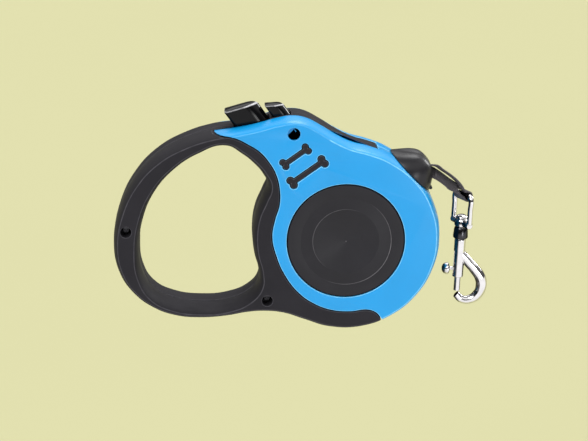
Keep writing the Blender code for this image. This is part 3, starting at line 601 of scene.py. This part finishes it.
def make_looks():
    # In each moulded look the last colour is its painted edge highlight colour.
    return {
        "cover": moulded("blue_cover_plastic", (0.0, 0.325, 0.745), 0.34, 0.08, 0.04,
                         (0.22, 0.66, 1.0), mottle=0.03, Coat_Weight=0.1,
                         Coat_Roughness=0.2),
        "shell": moulded("black_shell_plastic", (0.021, 0.0200, 0.024), 0.66, 0.20, 0.06,
                         (0.07, 0.068, 0.078), mottle=0.14, Specular_IOR_Level=0.14),
        "disc": moulded("black_disc_plastic", (0.013, 0.0125, 0.016), 0.50, 0.25, 0.05,
                        (0.16, 0.155, 0.165), mottle=0.14, Specular_IOR_Level=0.3),
        "nozzle": moulded("black_nozzle_plastic", (0.014, 0.0135, 0.016), 0.33, 0.12, 0.06,
                          (0.05, 0.048, 0.055), mottle=0.12, Specular_IOR_Level=0.35),
        "gloss": moulded("black_gloss_plastic", (0.003, 0.003, 0.0035), 0.12, 0.02, 0.03,
                         (0.80, 0.80, 0.82), Specular_IOR_Level=0.2),
        "reel": moulded("reel_plastic", (0.60, 0.60, 0.58), 0.45, 0.15, 0.05,
                        (0.75, 0.75, 0.72)),
        "tape": webbing("tape_webbing", (0.050, 0.045, 0.050)),
        "thread": webbing("stitch_thread", (0.30, 0.29, 0.30)),
        "chrome": polished("hook_chrome", (0.86, 0.85, 0.86), 0.06, 0.05),
        # Painted dark reflection: the hook's collar is coloured near black.
        "dark": polished("collar_painted_dark_reflection", (0.06, 0.06, 0.065), 0.12, 0.05),
        "spring": steel("spring_steel", (0.45, 0.47, 0.50), 0.3),
        # The screws are coloured near black.
        "screw": steel("near_black_screw", (0.05, 0.05, 0.055), 0.3),
    }


# ---- casing
def side_range(side, near, far):
    return (near, far) if side > 0 else (-far, -near)


def bone(centre, length, lobe, shaft, grow=0.0):
    """A bone outline: a straight shaft with two round lobes at each end."""
    lobe, shaft = lobe + grow, shaft + grow
    apart = 0.93 * (lobe - grow)
    half = length / 2
    meet = math.asin(min(apart / lobe, 1.0))
    neck = math.pi + math.asin((apart - shaft) / lobe)
    points = []
    for turn in (0, math.pi):
        for side, first, last in ((-1, -neck, meet), (1, -meet, neck)):
            for k in range(14):
                angle = first + (last - first) * k / 13
                x = half + lobe * math.cos(angle)
                z = side * apart + lobe * math.sin(angle)
                points.append((x * math.cos(turn), z * math.cos(turn)))
    cos, sin = math.cos(BONE_TILT), math.sin(BONE_TILT)
    return [(centre[0] + x * cos - z * sin, centre[1] + x * sin + z * cos) for x, z in points]


def cover_region(side, name, grow=0.0):
    """The plate's outline through one half, less the strip along the top."""
    depth = side_range(side, PARTING + GAP / 2 - max(grow, 0.0), PAST_ALL)
    region = plate(name, [PLATE], *depth, curved=True, grow=grow, sharp_from=SHARP_FROM)
    size = (STRIP_SIZE[0] - 2 * grow, 2 * (FLAT_RIM - grow), STRIP_SIZE[1] - 2 * grow)
    strip = box(name + "_strip", size, STRIP_AT)
    combine(region, strip)
    if side > 0:
        combine(region, strip_ridge(name + "_ridge", grow))
    return region


def strip_ridge(name, grow):
    """The strip's wider part on the rear side, which narrows toward its right end."""
    bm = bmesh.new()
    rings = []
    for height in STRIP_HEIGHTS:
        rings.append([bm.verts.new(Vector((x, y - grow if y > 2 else y, height)) * MM)
                      for x, y in STRIP_RIDGE])
    bm.faces.new(rings[0])
    bm.faces.new(rings[1])
    for k in range(len(STRIP_RIDGE)):
        step = (k + 1) % len(STRIP_RIDGE)
        bm.faces.new((rings[0][k], rings[0][step], rings[1][step], rings[1][k]))
    return mesh_object(name, bm)


def nozzle_side(name, distance):
    turn = Matrix.Rotation(-NOZZLE_ANGLE, 4, "Y")
    reach = distance + 15
    at = (reach * math.cos(NOZZLE_ANGLE), 0, reach * math.sin(NOZZLE_ANGLE))
    return box(name, (30, 40, 60), at, turn)


def tape_mouth():
    return box("tape_mouth", SLOT_SIZE, (37, 0, TAPE_HEIGHT))


def build_cover(side, name):
    face = side_range(side, WALL_FRONT, PAST_ALL)
    cover = body_form(name + "_detail")
    combine(cover, cover_region(side, "region", -SEAM), operation="INTERSECT")
    combine(cover, body_form("inside", COVER, rings=3), nozzle_side("end", NOZZLE_BASE - GAP),
            tape_mouth())
    holes = [circle(0, 0, DISC_RADIUS + GAP + SEAM, 160), circle(*SCREWS[0], SCREW_HOLE, 48)]
    holes += [bone(*spec, GAP + SEAM / 2) for spec in BONES]
    combine(cover, plate("holes", holes, *face))
    smooth(round_edges(cover, COVER_EDGE), flat_faces=True)
    # The painted edge highlight is weaker on the faces at the top left.
    for face, value in zip(cover.data.polygons, cover.data.attributes["edge"].data):
        if face.center.x < -8 * MM and face.center.z > 45 * MM:
            value.value *= 0.3
    show(cover, "cover", "case", [name])


def button_room(name, origin, left, right, floor, half):
    corners = [(left, floor), (left, -16), (right, -16), (right, floor)]
    points = [along(origin, press, across) for across, press in corners]
    return plate(name, [[(p.x, p.z) for p in points]], -half, half)


def build_shell(side, name):
    shell = body_form(name + "_detail")
    half = PARTING + SLIT + PAST_ALL / 2
    combine(shell, box("half", (300, PAST_ALL, 300), (0, side * half, 0)),
            operation="INTERSECT")
    pocket = cover_region(side, "pocket", GAP)
    combine(pocket, body_form("seat", COVER + GAP, rings=3),
            plate("bones", [bone(*spec) for spec in BONES],
                  *side_range(side, WALL_FRONT, HALF_DEPTH - 0.15)))
    combine(shell, pocket, nozzle_side("end", NOZZLE_BASE - GAP))
    combine(shell, plate("cavity", [circle(0, 0, CAVITY_RADIUS, 120)], -WALL_FRONT, WALL_FRONT),
            button_room("brake_room", BRAKE_AT, -7.8, 8.4, 11.8, 5.1),
            button_room("lock_room", LOCK_AT, -4.4, 3.9, 7.5, 4.3),
            press_box("stem_room", BRAKE_AT, (BRAKE_FLOOR, STEM_ROOM_END),
                      [STEM_AT + reach for reach in STEM_ROOM],
                      (-STEM_ROOM_HALF, STEM_ROOM_HALF)),
            tape_mouth())
    boss_depth = side_range(side, BOSS_FACE, WALL_FRONT + 0.5)
    posts = [circle(x, z, POST_RADIUS, 24) for x, z in SCREWS[2:4]]
    combine(shell, plate("boss", [circle(0, 0, BOSS_RADIUS, 48)], *boss_depth),
            plate("posts", posts, *side_range(side, PARTING + 0.1, WALL_FRONT + 0.1)),
            operation="UNION")
    if side > 0:
        run = (STEM_AT + STEM_ROOM[0] + SHELF_INSET, STEM_AT + STEM_ROOM[1] - SHELF_INSET)
        shelf = press_box("shelf", BRAKE_AT, SHELF, run, (-4.5, WALL_FRONT + 0.5))
        combine(shell, shelf, operation="UNION")
    combine(shell, plate("socket", [circle(0, 0, AXLE_RADIUS + GAP, 40)],
                         -SOCKET_DEPTH, SOCKET_DEPTH))
    if side < 0:
        seats = [circle(*SCREWS[number], SEAT_RADIUS, 40) for number in OPEN_SCREWS]
        hidden = [circle(x, z, HIDDEN_SEAT_RADIUS, 24) for x, z in SCREWS[2:4]]
        bores = [circle(x, z, SCREW_CLEARANCE, 20) for x, z in SCREWS]
        combine(shell, plate("seats", seats, -HALF_DEPTH - 1, HEAD_SEAT + GAP),
                plate("hidden_seats", hidden, -WALL_FRONT - 3, HEAD_SEAT + GAP),
                plate("bores", bores, -PAST_ALL, 0))
    else:
        bores = [circle(x, z, SCREW_PILOT, 20) for x, z in SCREWS]
        combine(shell, plate("bores", bores, -1, PILOT_END))
    smooth(round_edges(shell), flat_faces=True)
    show(shell, "shell", "case", [name])


def build_disc(side, name):
    """The centre plate: a rounded rim, a groove, a shallow cone and a flat middle."""
    back = WALL_FRONT + 2.0 + GAP
    top = HALF_DEPTH
    edge = [(DISC_RADIUS - 0.5 + 0.5 * math.cos(a), top - 0.5 + 0.5 * math.sin(a))
            for a in (0.0, 0.4, 0.8, 1.2, math.pi / 2)]
    profile = [(0.0, back), (DISC_RADIUS, back), *edge,
               (22.05, top), (21.95, top - 0.04), (21.8, top - 0.10), (21.65, top - 0.07),
               (16.35, top - 0.18), (16.12, top - 0.10), (15.85, top - 0.06),
               (15.6, top - 0.20), (0.9, top - 0.21), (0.75, top - 0.29), (0.5, top - 0.29),
               (0.35, top - 0.21), (0.0, top - 0.19)]
    stand = Matrix.Rotation(math.pi / 2 * (1 if side < 0 else -1), 4, "X")
    disc = turned(name + "_detail", profile, 160, stand)
    smooth(disc, 40.0)
    # Painted highlight arcs on the two ring edges, each strongest toward one side. The centre
    # dimple is coloured paler.
    mark = disc.data.attributes.new("edge", "FLOAT", "FACE")
    for face, value in zip(disc.data.polygons, mark.data):
        spot = face.center / MM
        reach = math.hypot(spot.x, spot.z)
        turn = math.atan2(spot.z, -side * spot.x)
        if abs(spot.y) > top - 1:
            if 15.85 < reach < 16.1:
                value.value = max(math.cos(turn - math.radians(150)), 0.0) * 0.6
            elif 21.65 < reach < 21.95:
                value.value = max(math.cos(turn + math.radians(30)), 0.0)
            elif reach < 0.4:
                value.value = 0.5
    show(disc, "disc", "case", [name])


def dome(point):
    """Move a point of the unit ball onto the nozzle: its upper side is the flatter one."""
    spread = math.hypot(point.y, point.z)
    lengthwise = (point.z / spread) ** 2 if spread > 0 else 0.0
    upper = point.z > 0
    fall = 4.0 + lengthwise * ((1.35 if upper else 2.0) - 4.0)
    shoulder = 0.7 + lengthwise * ((1.0 if upper else 0.8) - 0.7)
    height = max(1 - min(spread, 1.0) ** fall, 0.0) ** shoulder
    if point.x < 0:
        height = point.x
    reach = NOZZLE_UP if upper else NOZZLE_DOWN
    return Vector((height * NOZZLE_HEIGHT, point.y * NOZZLE_HALF_WIDTH, point.z * reach)) * MM


def build_nozzle():
    bm = bmesh.new()
    bmesh.ops.create_uvsphere(bm, u_segments=96, v_segments=64, radius=1.0)
    for vert in bm.verts:
        vert.co = dome(vert.co)
    bmesh.ops.transform(bm, matrix=Matrix.Rotation(-NOZZLE_ANGLE, 4, "Y"), verts=bm.verts)
    at = Vector((math.cos(NOZZLE_ANGLE), 0, math.sin(NOZZLE_ANGLE))) * NOZZLE_BASE
    bmesh.ops.translate(bm, vec=at * MM, verts=bm.verts)
    nozzle = mesh_object("nozzle_shell", bm)
    combine(nozzle, nozzle_side("base", NOZZLE_BASE), operation="INTERSECT")
    combine(nozzle, box("mouth", (40, *MOUTH), (40, 0, TAPE_HEIGHT - MOUTH_DROP)))
    ends = [(LUG_AT[0], side * LUG[1], LUG_AT[1]) for side in (-1, 1)]
    combine(nozzle, rod("lug", LUG[0], *ends, 20), operation="UNION")
    show(smooth(round_edges(nozzle, NOZZLE_EDGE)), "nozzle", "case", ["nozzle"])


# ---- buttons
def along(origin, press, across=0.0, y=0.0):
    point = origin + PRESS * press + ACROSS * across
    return Vector((point.x, y, point.z))


def press_box(name, origin, press, across, depth):
    size = (press[1] - press[0], depth[1] - depth[0], across[1] - across[0])
    at = along(origin, sum(press) / 2, sum(across) / 2, sum(depth) / 2)
    return box(name, size, at, Matrix.Rotation(-PRESS_ANGLE, 4, "Y"))


def button_plan(left, right, half, left_radius, right_radius):
    """A rounded plan seen along the press direction: (across, y) points."""
    points = []
    corners = [(right, -1, right_radius, -90), (right, 1, right_radius, 0),
               (left, 1, left_radius, 90), (left, -1, left_radius, 180)]
    for end, side, radius, start in corners:
        reach = min(radius, half)
        centre = (end - math.copysign(radius, end), side * (half - reach))
        for k in range(13):
            angle = math.radians(start + 90 * k / 12)
            points.append((centre[0] + radius * math.cos(angle),
                           centre[1] + reach * math.sin(angle)))
    return points


def build_cap(name, origin, plan, half, top_at, slope, dome_drop, floor, edge):
    """A crowned button: straight sides along the press direction, sloping domed top."""
    middle = sum(p[0] for p in plan) / len(plan)

    def top(across, y):
        end = max((across - middle) / (max(p[0] for p in plan) - middle), 0.0)
        return top_at + slope * across + dome_drop * (y / half) ** 2 + 1.1 * end ** 5

    bm = bmesh.new()
    rings = []
    for share in (0.0, 0.5, 1.0):
        rings.append([(a, y, floor + (top(a, y) + edge - floor) * share) for a, y in plan])
    for k in range(1, 8):
        turn = math.pi / 2 * k / 7
        draw = 1 - edge * (1 - math.cos(turn)) / half
        lift = edge * (1 - math.sin(turn))
        rings.append([(middle + (a - middle) * draw, y * draw,
                       top(middle + (a - middle) * draw, y * draw) + lift) for a, y in plan])
    for share in (0.75, 0.5, 0.25):
        rings.append([(middle + (a - middle) * share, y * share,
                       top(middle + (a - middle) * share, y * share)) for a, y in plan])
    made = []
    for ring in rings:
        made.append([bm.verts.new(along(origin, press, across, y) * MM)
                     for across, y, press in ring])
    count = len(plan)
    # Painted highlight: rounded rows are marked for the paler colour, more toward the right end.
    edge_mark = bm.faces.layers.float.new("edge")
    for row, (here, there) in enumerate(zip(made, made[1:])):
        for k in range(count):
            step = (k + 1) % count
            side = bm.faces.new((here[k], here[step], there[step], there[k]))
            corner = min(max((plan[k][0] - middle) / (plan[0][0] - middle), 0.0), 1.0)
            side[edge_mark] = EDGE_ROWS.get(row, 0.0) * (1 + CORNER_GLINT * corner)
    bm.faces.new(made[0])
    peak = bm.verts.new(along(origin, top(middle, 0), middle) * MM)
    for k in range(count):
        bm.faces.new((made[-1][k], made[-1][(k + 1) % count], peak))
    return mesh_object(name, bm)


def build_buttons():
    plan = button_plan(-7.4, 8.0, BRAKE_HALF, 1.6, 6.4)
    brake = build_cap("brake_button_cap", BRAKE_AT, plan, BRAKE_HALF, -6.9, 0.36, 0.6,
                      BRAKE_FLOOR, 0.9)
    stem = press_box("stem", BRAKE_AT, (6.0, 19.2), (STEM_AT - STEM_HALF, STEM_AT + STEM_HALF),
                     (-4.5, 4.4))
    foot = press_box("foot", BRAKE_AT, (12.0, 19.0), (STEM_AT - FOOT_HALF, STEM_AT + FOOT_HALF),
                     (-5.6, -3.5))
    combine(brake, stem, foot, operation="UNION")
    show(smooth(brake, 45.0), "gloss", "brake", ["brake_button"])
    plan = button_plan(-4.0, 3.5, LOCK_HALF, 1.2, 3.6)
    lock = build_cap("lock_button_cap", LOCK_AT, plan, LOCK_HALF, -5.2, 0.62, 0.5,
                     LOCK_FLOOR, 0.7)
    show(smooth(lock, 45.0), "gloss", "lock", ["lock_button"])


# ---- tape
def smooth_path(points, steps):
    """Catmull-Rom points through a list of vectors."""
    out = []
    ends = [points[0] * 2 - points[1], *points, points[-1] * 2 - points[-2]]
    for k in range(1, len(ends) - 2):
        a, b, c, d = ends[k - 1:k + 3]
        for step in range(steps):
            t = step / steps
            out.append(0.5 * (b * 2 + (c - a) * t + (a * 2 - b * 5 + c * 4 - d) * t * t
                              + (b * 3 - a - c * 3 + d) * t ** 3))
    out.append(points[-1])
    return out


def ribbon(name, path, widths, half, thick):
    """A strip with rounded selvedges swept along a path; its UV is millimetres."""
    section = [(-half + 2 * half * k / 8, thick / 2) for k in range(9)]
    section += [(half + thick * 0.35, thick * 0.25), (half + thick * 0.35, -thick * 0.25)]
    section += [(x, -y) for x, y in reversed(section[:9])]
    section += [(-half - thick * 0.35, -thick * 0.25), (-half - thick * 0.35, thick * 0.25)]
    bm = bmesh.new()
    uv = bm.loops.layers.uv.new("UVMap")
    rows, travel = [], [0.0]
    for k, spot in enumerate(path):
        ahead = path[min(k + 1, len(path) - 1)] - path[max(k - 1, 0)]
        scale = widths[k].length
        wide = (widths[k] - ahead.normalized() * widths[k].dot(ahead.normalized())).normalized()
        up = ahead.normalized().cross(wide).normalized()
        rows.append([bm.verts.new((spot + wide * (x * scale) + up * y) * MM) for x, y in section])
        if k:
            travel.append(travel[-1] + (spot - path[k - 1]).length)
    count = len(section)
    for k in range(len(rows) - 1):
        for n in range(count):
            step = (n + 1) % count
            quad = bm.faces.new((rows[k][n], rows[k][step], rows[k + 1][step], rows[k + 1][n]))
            marks = ((n, k), (n + 1, k), (n + 1, k + 1), (n, k + 1))
            for loop, (m, row) in zip(quad.loops, marks):
                loop[uv].uv = (section[m % count][0] + half, travel[row])
    bm.faces.new(rows[0])
    bm.faces.new(rows[-1])
    return mesh_object(name, bm, 0.0)


def tape_frames():
    """The eye bar's direction, the way the tape leaves it, and the square to both."""
    bend = Vector((42.6, 0, TAPE_HEIGHT - 1.5))
    down = (HOOK_AT - bend).normalized()
    bar = Vector((-math.sin(EYE_TURN), math.cos(EYE_TURN), 0))
    in_plane = (down - bar * down.dot(bar)).normalized()
    return bend, down, bar, in_plane, bar.cross(in_plane)


def build_tape():
    bend, down, bar, in_plane, beside = tape_frames()
    loop = BAR_RADIUS + TAPE_FIT
    rolled = Vector((0, 1, 0.33)).normalized()
    lifted = Vector((0.05, 1, -0.31)).normalized()
    level = Vector((0, 1, 0))
    spots = [(Vector((4.0, 0, TAPE_HEIGHT)), level), (Vector((20.0, 0, TAPE_HEIGHT)), level),
             (Vector((32.0, 0, TAPE_HEIGHT)), level),
             (Vector((38.0, 0, TAPE_HEIGHT - 0.9)), rolled),
             (bend + down * 0.6 + beside * 0.5, rolled), (bend + down * 5.0, rolled),
             (bend + down * 10.5, rolled),
             (HOOK_AT - in_plane * 5.2 + beside * 0.3, rolled.lerp(bar, 0.15)),
             (HOOK_AT - in_plane * 2.8 + beside * 0.9, rolled.lerp(bar, 0.6))]
    start = math.radians(125)
    for k in range(11):
        angle = start - 2 * start * k / 10
        turn = in_plane * math.cos(angle) + beside * math.sin(angle)
        spots.append((HOOK_AT + turn * loop, bar * LOOP_SQUEEZE))
    spots += [(HOOK_AT - in_plane * 2.8 - beside * 1.5, bar.lerp(lifted, 0.35)),
              (HOOK_AT - in_plane * 5.6 - beside * 2.6, bar.lerp(lifted, 0.9)),
              (bend + down * 10.0 - beside * 3.6, lifted),
              (bend + down * 4.0 - beside * 3.4, lifted),
              (bend - down * 0.5 - beside * 2.9, lifted),
              (Vector((37.5, 0, TAPE_HEIGHT + 1.4)), lifted.lerp(level, 0.6)),
              (Vector((34.0, 0, TAPE_HEIGHT + 1.1)), level)]
    path = smooth_path([spot for spot, _width in spots], 6)
    widths = smooth_path([width for _spot, width in spots], 6)
    tape = ribbon("leash_tape", path, widths, TAPE_HALF, TAPE_THICK)
    show(smooth(tape, 60.0), "tape", "tape", ["tape_lead"])
    build_stitches(bend, down, rolled)


def build_stitches(bend, down, rolled):
    """Two rows of thread across the tape just outside the nozzle, on both of its faces."""
    wide = (rolled - down * rolled.dot(down)).normalized()
    up = down.cross(wide).normalized()
    rows = []
    for row, run in enumerate((1.8, 2.4)):
        for k in range(STITCHES):
            marks = []
            for part, rise in ((0.12, 0.02), (0.5, 0.17), (0.88, 0.02)):
                side = STITCH_HALF * (2 * (k + part) / STITCHES - 1)
                marks.append((run, side, rise + row * 0.01))
            rows.append(marks)
    bm = bmesh.new()
    for way in (1, -1):
        for marks in rows:
            spots = [bend + down * run + wide * side + up * (STITCH_LEVEL + rise) * way
                     for run, side, rise in marks]
            thread(bm, spots, THREAD_RADIUS)
    stitches = mesh_object("tape_stitching", bm, 0.0000001)
    show(smooth(stitches, 60.0), "thread", "tape", [])


def thread(bm, spots, radius):
    """A closed little six-sided tube along a few points."""
    sides = 6
    rings = []
    for k, spot in enumerate(spots):
        run = (spots[min(k + 1, len(spots) - 1)] - spots[max(k - 1, 0)]).normalized()
        side = run.cross(Vector((0.3, 0.2, 0.9))).normalized()
        other = run.cross(side)
        ring = []
        for n in range(sides):
            angle = 2 * math.pi * n / sides
            ring.append(bm.verts.new((spot + side * math.cos(angle) * radius
                                      + other * math.sin(angle) * radius) * MM))
        rings.append(ring)
    for here, there in zip(rings, rings[1:]):
        for n in range(sides):
            step = (n + 1) % sides
            bm.faces.new((here[n], here[step], there[step], there[n]))
    bm.faces.new(rings[0])
    bm.faces.new(rings[-1])


# ---- snap hook
def hook_place(turn=0.0):
    return (Matrix.Translation(HOOK_AT * MM) @ Matrix.Rotation(HOOK_LEAN, 4, "Y")
            @ Matrix.Rotation(turn, 4, "Z"))


def swept(name, route, steps=8):
    """A round bar through (x, y, z, radius) points."""
    curve = new_curve(name, dimensions="3D", bevel_depth=MM, bevel_resolution=6,
                      resolution_u=steps, use_fill_caps=True)
    spline = curve.splines.new("BEZIER")
    spline.bezier_points.add(len(route) - 1)
    for knot, (x, y, z, radius) in zip(spline.bezier_points, route):
        knot.co = Vector((x, y, z)) * MM
        knot.radius = radius
        knot.handle_left_type = "AUTO"
        knot.handle_right_type = "AUTO"
    return freeze_curve(name, curve, Matrix.Identity(4))


def build_eye():
    half = [(EYE_HALF, POST_END, POST_WIDE), (EYE_HALF, -6.0, POST_SLIM),
            (EYE_HALF, -EYE_BEND, POST_WIDE), (EYE_HALF - EYE_BEND, 0, BAR_RADIUS),
            (BAR_STRAIGHT, 0, BAR_RADIUS)]
    loop = [(0, -y, z, radius) for y, z, radius in half] + [(0, 0, 0, BAR_RADIUS)]
    loop += [(0, y, z, radius) for y, z, radius in reversed(half)]
    eye = swept("swivel_eye", loop)
    ends = [(0, side * (EYE_HALF + 0.6), YOKE_HEIGHT) for side in (-1, 1)]
    yoke = rod("yoke", 1.7, *ends, 24)
    boss = turned("boss", [(0, -16.0), (2.9, -16.0), (3.3, -15.6), (3.4, -14.6), (3.1, -13.0),
                           (2.6, -12.2), (2.3, -12.0), (0, -12.0)], 48)
    combine(eye, yoke, boss, operation="UNION")
    combine(eye, rod("boss_bore", BOSS_BORE, (0, 0, -20), (0, 0, -8), 32))
    soften(eye, 0.16)
    eye.data.transform(hook_place(EYE_TURN))
    show(smooth(eye, 180.0), "chrome", "eye", ["hook_eye"])


def build_hook():
    profile = [(0, -42.0), (2.55, -42.0), (2.7, -41.7), (2.7, -30.0), (2.72, -23.0),
               (2.5, -22.2), (2.1, -22.15), (2.1, -16.5), (2.0, -16.3), (1.55, -16.3),
               (1.55, -11.7), (2.9, -11.7), (2.8, -11.2), (2.3, -10.6), (1.4, -10.2),
               (0, -10.1)]
    hook = turned("snap_hook", profile, 64)
    arm = swept("arm", [(1.0, 0, -30.4, 2.4), (4.5, 0, -34.2, 2.5), (8.4, 0, -38.4, 2.65),
                        (11.3, 0, -42.6, 2.75), (12.0, 0, -47.0, 2.7), (10.4, 0, -51.3, 2.45),
                        (6.5, 0, -54.0, 2.1), (2.5, 0, -53.8, 1.9), (-0.2, 0, -51.3, 1.85)], 14)
    combine(hook, arm, operation="UNION")
    combine(hook, rod("bore", BORE_RADIUS, (0, 0, -50.0), (0, 0, -21.5), 32),
            box("knob_slot", (6.0, 2.6, 12.2), (-3.0, 0, -34.9)))
    # The collar ring, coloured near black as a painted dark reflection.
    collar = turned("hook_collar", [(2.15, -22.1), (3.2, -22.1), (3.6, -21.7), (3.65, -21.1),
                                    (3.3, -17.0), (3.0, -16.5), (2.15, -16.5)], 64,
                    hook_place())
    show(smooth(collar, 50.0), "dark", "snap", [])
    soften(hook, 0.15)
    hook.data.transform(hook_place())
    show(smooth(hook, 180.0), "chrome", "snap", ["hook_body"])
    bolt = rod("snap_bolt", BOLT_RADIUS, (0, 0, -29.0), (0, 0, -49.3), 32)
    neck = rod("neck", 0.95, (0, 0, KNOB_HEIGHT), (-5.6, 0, KNOB_HEIGHT), 20)
    knob = turned("knob", [(0, 0), (1.6, 0), (2.5, 0.3), (2.9, 1.0), (2.9, 1.5), (2.5, 2.6),
                           (1.7, 3.4), (0.8, 3.7), (0, 3.8)], 40,
                  Matrix.Translation((-4.4 * MM, 0, KNOB_HEIGHT * MM))
                  @ Matrix.Rotation(-math.pi / 2, 4, "Y"))
    combine(bolt, neck, knob, operation="UNION")
    soften(bolt, 0.14, 3)
    bolt.data.transform(hook_place())
    show(smooth(bolt, 180.0), "chrome", "bolt", ["hook_bolt"])


# ---- springs
def build_spring(node, body, start, end, radius, wire, turns):
    """A compression spring from start to end, with its end coils closed up."""
    run = end - start
    aim = run.to_track_quat("Z", "Y")
    curve = new_curve(node, dimensions="3D", bevel_depth=wire * MM, bevel_resolution=2,
                      use_fill_caps=True)
    spline = curve.splines.new("POLY")
    steps = turns * 24
    spline.points.add(steps)
    for k, knot in enumerate(spline.points):
        share = k / steps
        rise = share - math.sin(2 * math.pi * share) / (2 * math.pi) * CLOSED_ENDS
        angle = 2 * math.pi * turns * share
        local = Vector((radius * math.cos(angle), radius * math.sin(angle),
                        wire + (run.length - 2 * wire) * rise))
        knot.co = ((start + aim @ local) * MM).to_4d()
        knot.co[3] = 1
    spring = freeze_curve(node + "_coil", curve, Matrix.Identity(4))
    show(smooth(spring, 60.0), "spring", body, [node])
    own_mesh(spring)


def build_springs():
    start, end = (along(BRAKE_AT, press, STEM_AT) for press in (20.3, 30.2))
    build_spring("brake_spring", "case", start, end, 2.6, 0.35, 5)
    start, end = (along(LOCK_AT, press, -0.25) for press in (4.6, 7.3))
    build_spring("lock_spring", "case", start, end, 2.2, 0.3, 3)
    start, end = (hook_place() @ (Vector((0, 0, height)) * MM) / MM for height in (-28.6, -21.9))
    build_spring("hook_spring", "snap", start, end, 1.15, 0.25, 5)


# ---- carried-over nodes
def dress_nodes():
    """Materials for the CAD pieces that stay as they are."""
    dress = dict.fromkeys(("spool", "spool_flange", "spring_lid"), "reel")
    dress.update(dict.fromkeys(("axle", "mainspring", "brake_pawl"), "spring"))
    dress["tape_winding"] = "tape"
    for name, node in frame["nodes"].items():
        look = "screw" if name.startswith("case_screw") else dress.get(name)
        if look:
            node.data.materials.clear()
            node.data.materials.append(LOOKS[look])


# ---- camera, light and floor
def world(x, y, z):
    return (Vector((x, y, z)) - GRIP) * MM


def look_from(at, target):
    return (Vector(target) - Vector(at)).to_track_quat("-Z", "Y").to_euler()


def add_camera():
    data = bpy.data.cameras.new("camera")
    data.lens = CAMERA_LENS
    data.sensor_width = 36.0
    camera = add(bpy.data.objects.new("camera", data))
    camera.location = world(*CAMERA_AT)
    camera.rotation_euler = look_from(camera.location, world(*CAMERA_AIM))
    bpy.context.scene.camera = camera


def add_sun(name, toward, power, spread):
    """A soft, even light that shines from the given direction."""
    data = bpy.data.lights.new(name, "SUN")
    data.energy = power
    data.angle = math.radians(spread)
    sun = add(bpy.data.objects.new(name, data))
    sun.location = Vector(toward)
    sun.rotation_euler = look_from(toward, (0, 0, 0))


def add_floor():
    bm = bmesh.new()
    bmesh.ops.create_grid(bm, x_segments=2, y_segments=2, size=FLOOR_HALF)
    floor = mesh_object("floor", bm)
    floor.location = (0.1, FLOOR_HALF - 0.1, FLOOR_HEIGHT)
    look = Look("floor_paper", FLOOR_COLOUR, 1.0, Specular_IOR_Level=0.0)
    look.vary_colour(0.995, 1.005, 1.5)
    floor.data.materials.append(look.material)


def add_studio():
    """A white room with a darker band at eye height, which the chrome reads against."""
    sky = bpy.data.worlds.new("studio")
    sky.use_nodes = True
    tree = sky.node_tree
    background = tree.nodes["Background"]
    background.inputs["Strength"].default_value = 1.15
    way, parts, level, bands = (tree.nodes.new("ShaderNode" + kind) for kind in (
        "TexCoord", "SeparateXYZ", "MapRange", "ValToRGB"))
    level.inputs["From Min"].default_value = -1.0
    for start, end in ((way.outputs["Generated"], parts.inputs["Vector"]),
                       (parts.outputs["Z"], level.inputs["Value"]),
                       (level.outputs["Result"], bands.inputs["Fac"]),
                       (bands.outputs["Color"], background.inputs["Color"])):
        tree.links.new(start, end)
    stops = bands.color_ramp.elements
    stops[0].position, stops[0].color = 0.0, (0.80, 0.78, 0.78, 1)
    stops[1].position, stops[1].color = 1.0, (0.30, 0.30, 0.31, 1)
    for height, grey in ((-0.30, 0.95), (-0.06, 0.90), (0.02, 0.06), (0.30, 0.10), (0.42, 0.90),
                         (0.80, 0.90), (0.93, 0.30)):
        stop = stops.new((height + 1) / 2)
        stop.color = (grey, grey * 0.985, grey * 0.985, 1)
    bpy.context.scene.world = sky
    bpy.context.scene.view_settings.view_transform = "Standard"
    add_sun("key", (-0.55, -0.85, 0.75), 1.2, 30.0)
    add_sun("top", (0.2, 0.4, 1.0), 1.5, 34.0)
    add_sun("side", (0.44, -0.90, -0.05), 0.45, 16.0)
    add_sun("rim", (0.77, 0.56, 0.31), 1.0, 16.0)


LOOKS = make_looks()
dress_nodes()
for build, part in ((build_cover, "_cover"), (build_shell, "_shell"), (build_disc, "_disc")):
    for way, end in ((-1, "front"), (1, "rear")):
        build(way, end + part)
build_nozzle()
build_buttons()
build_tape()
build_eye()
build_hook()
build_springs()
add_camera()
add_floor()
add_studio()
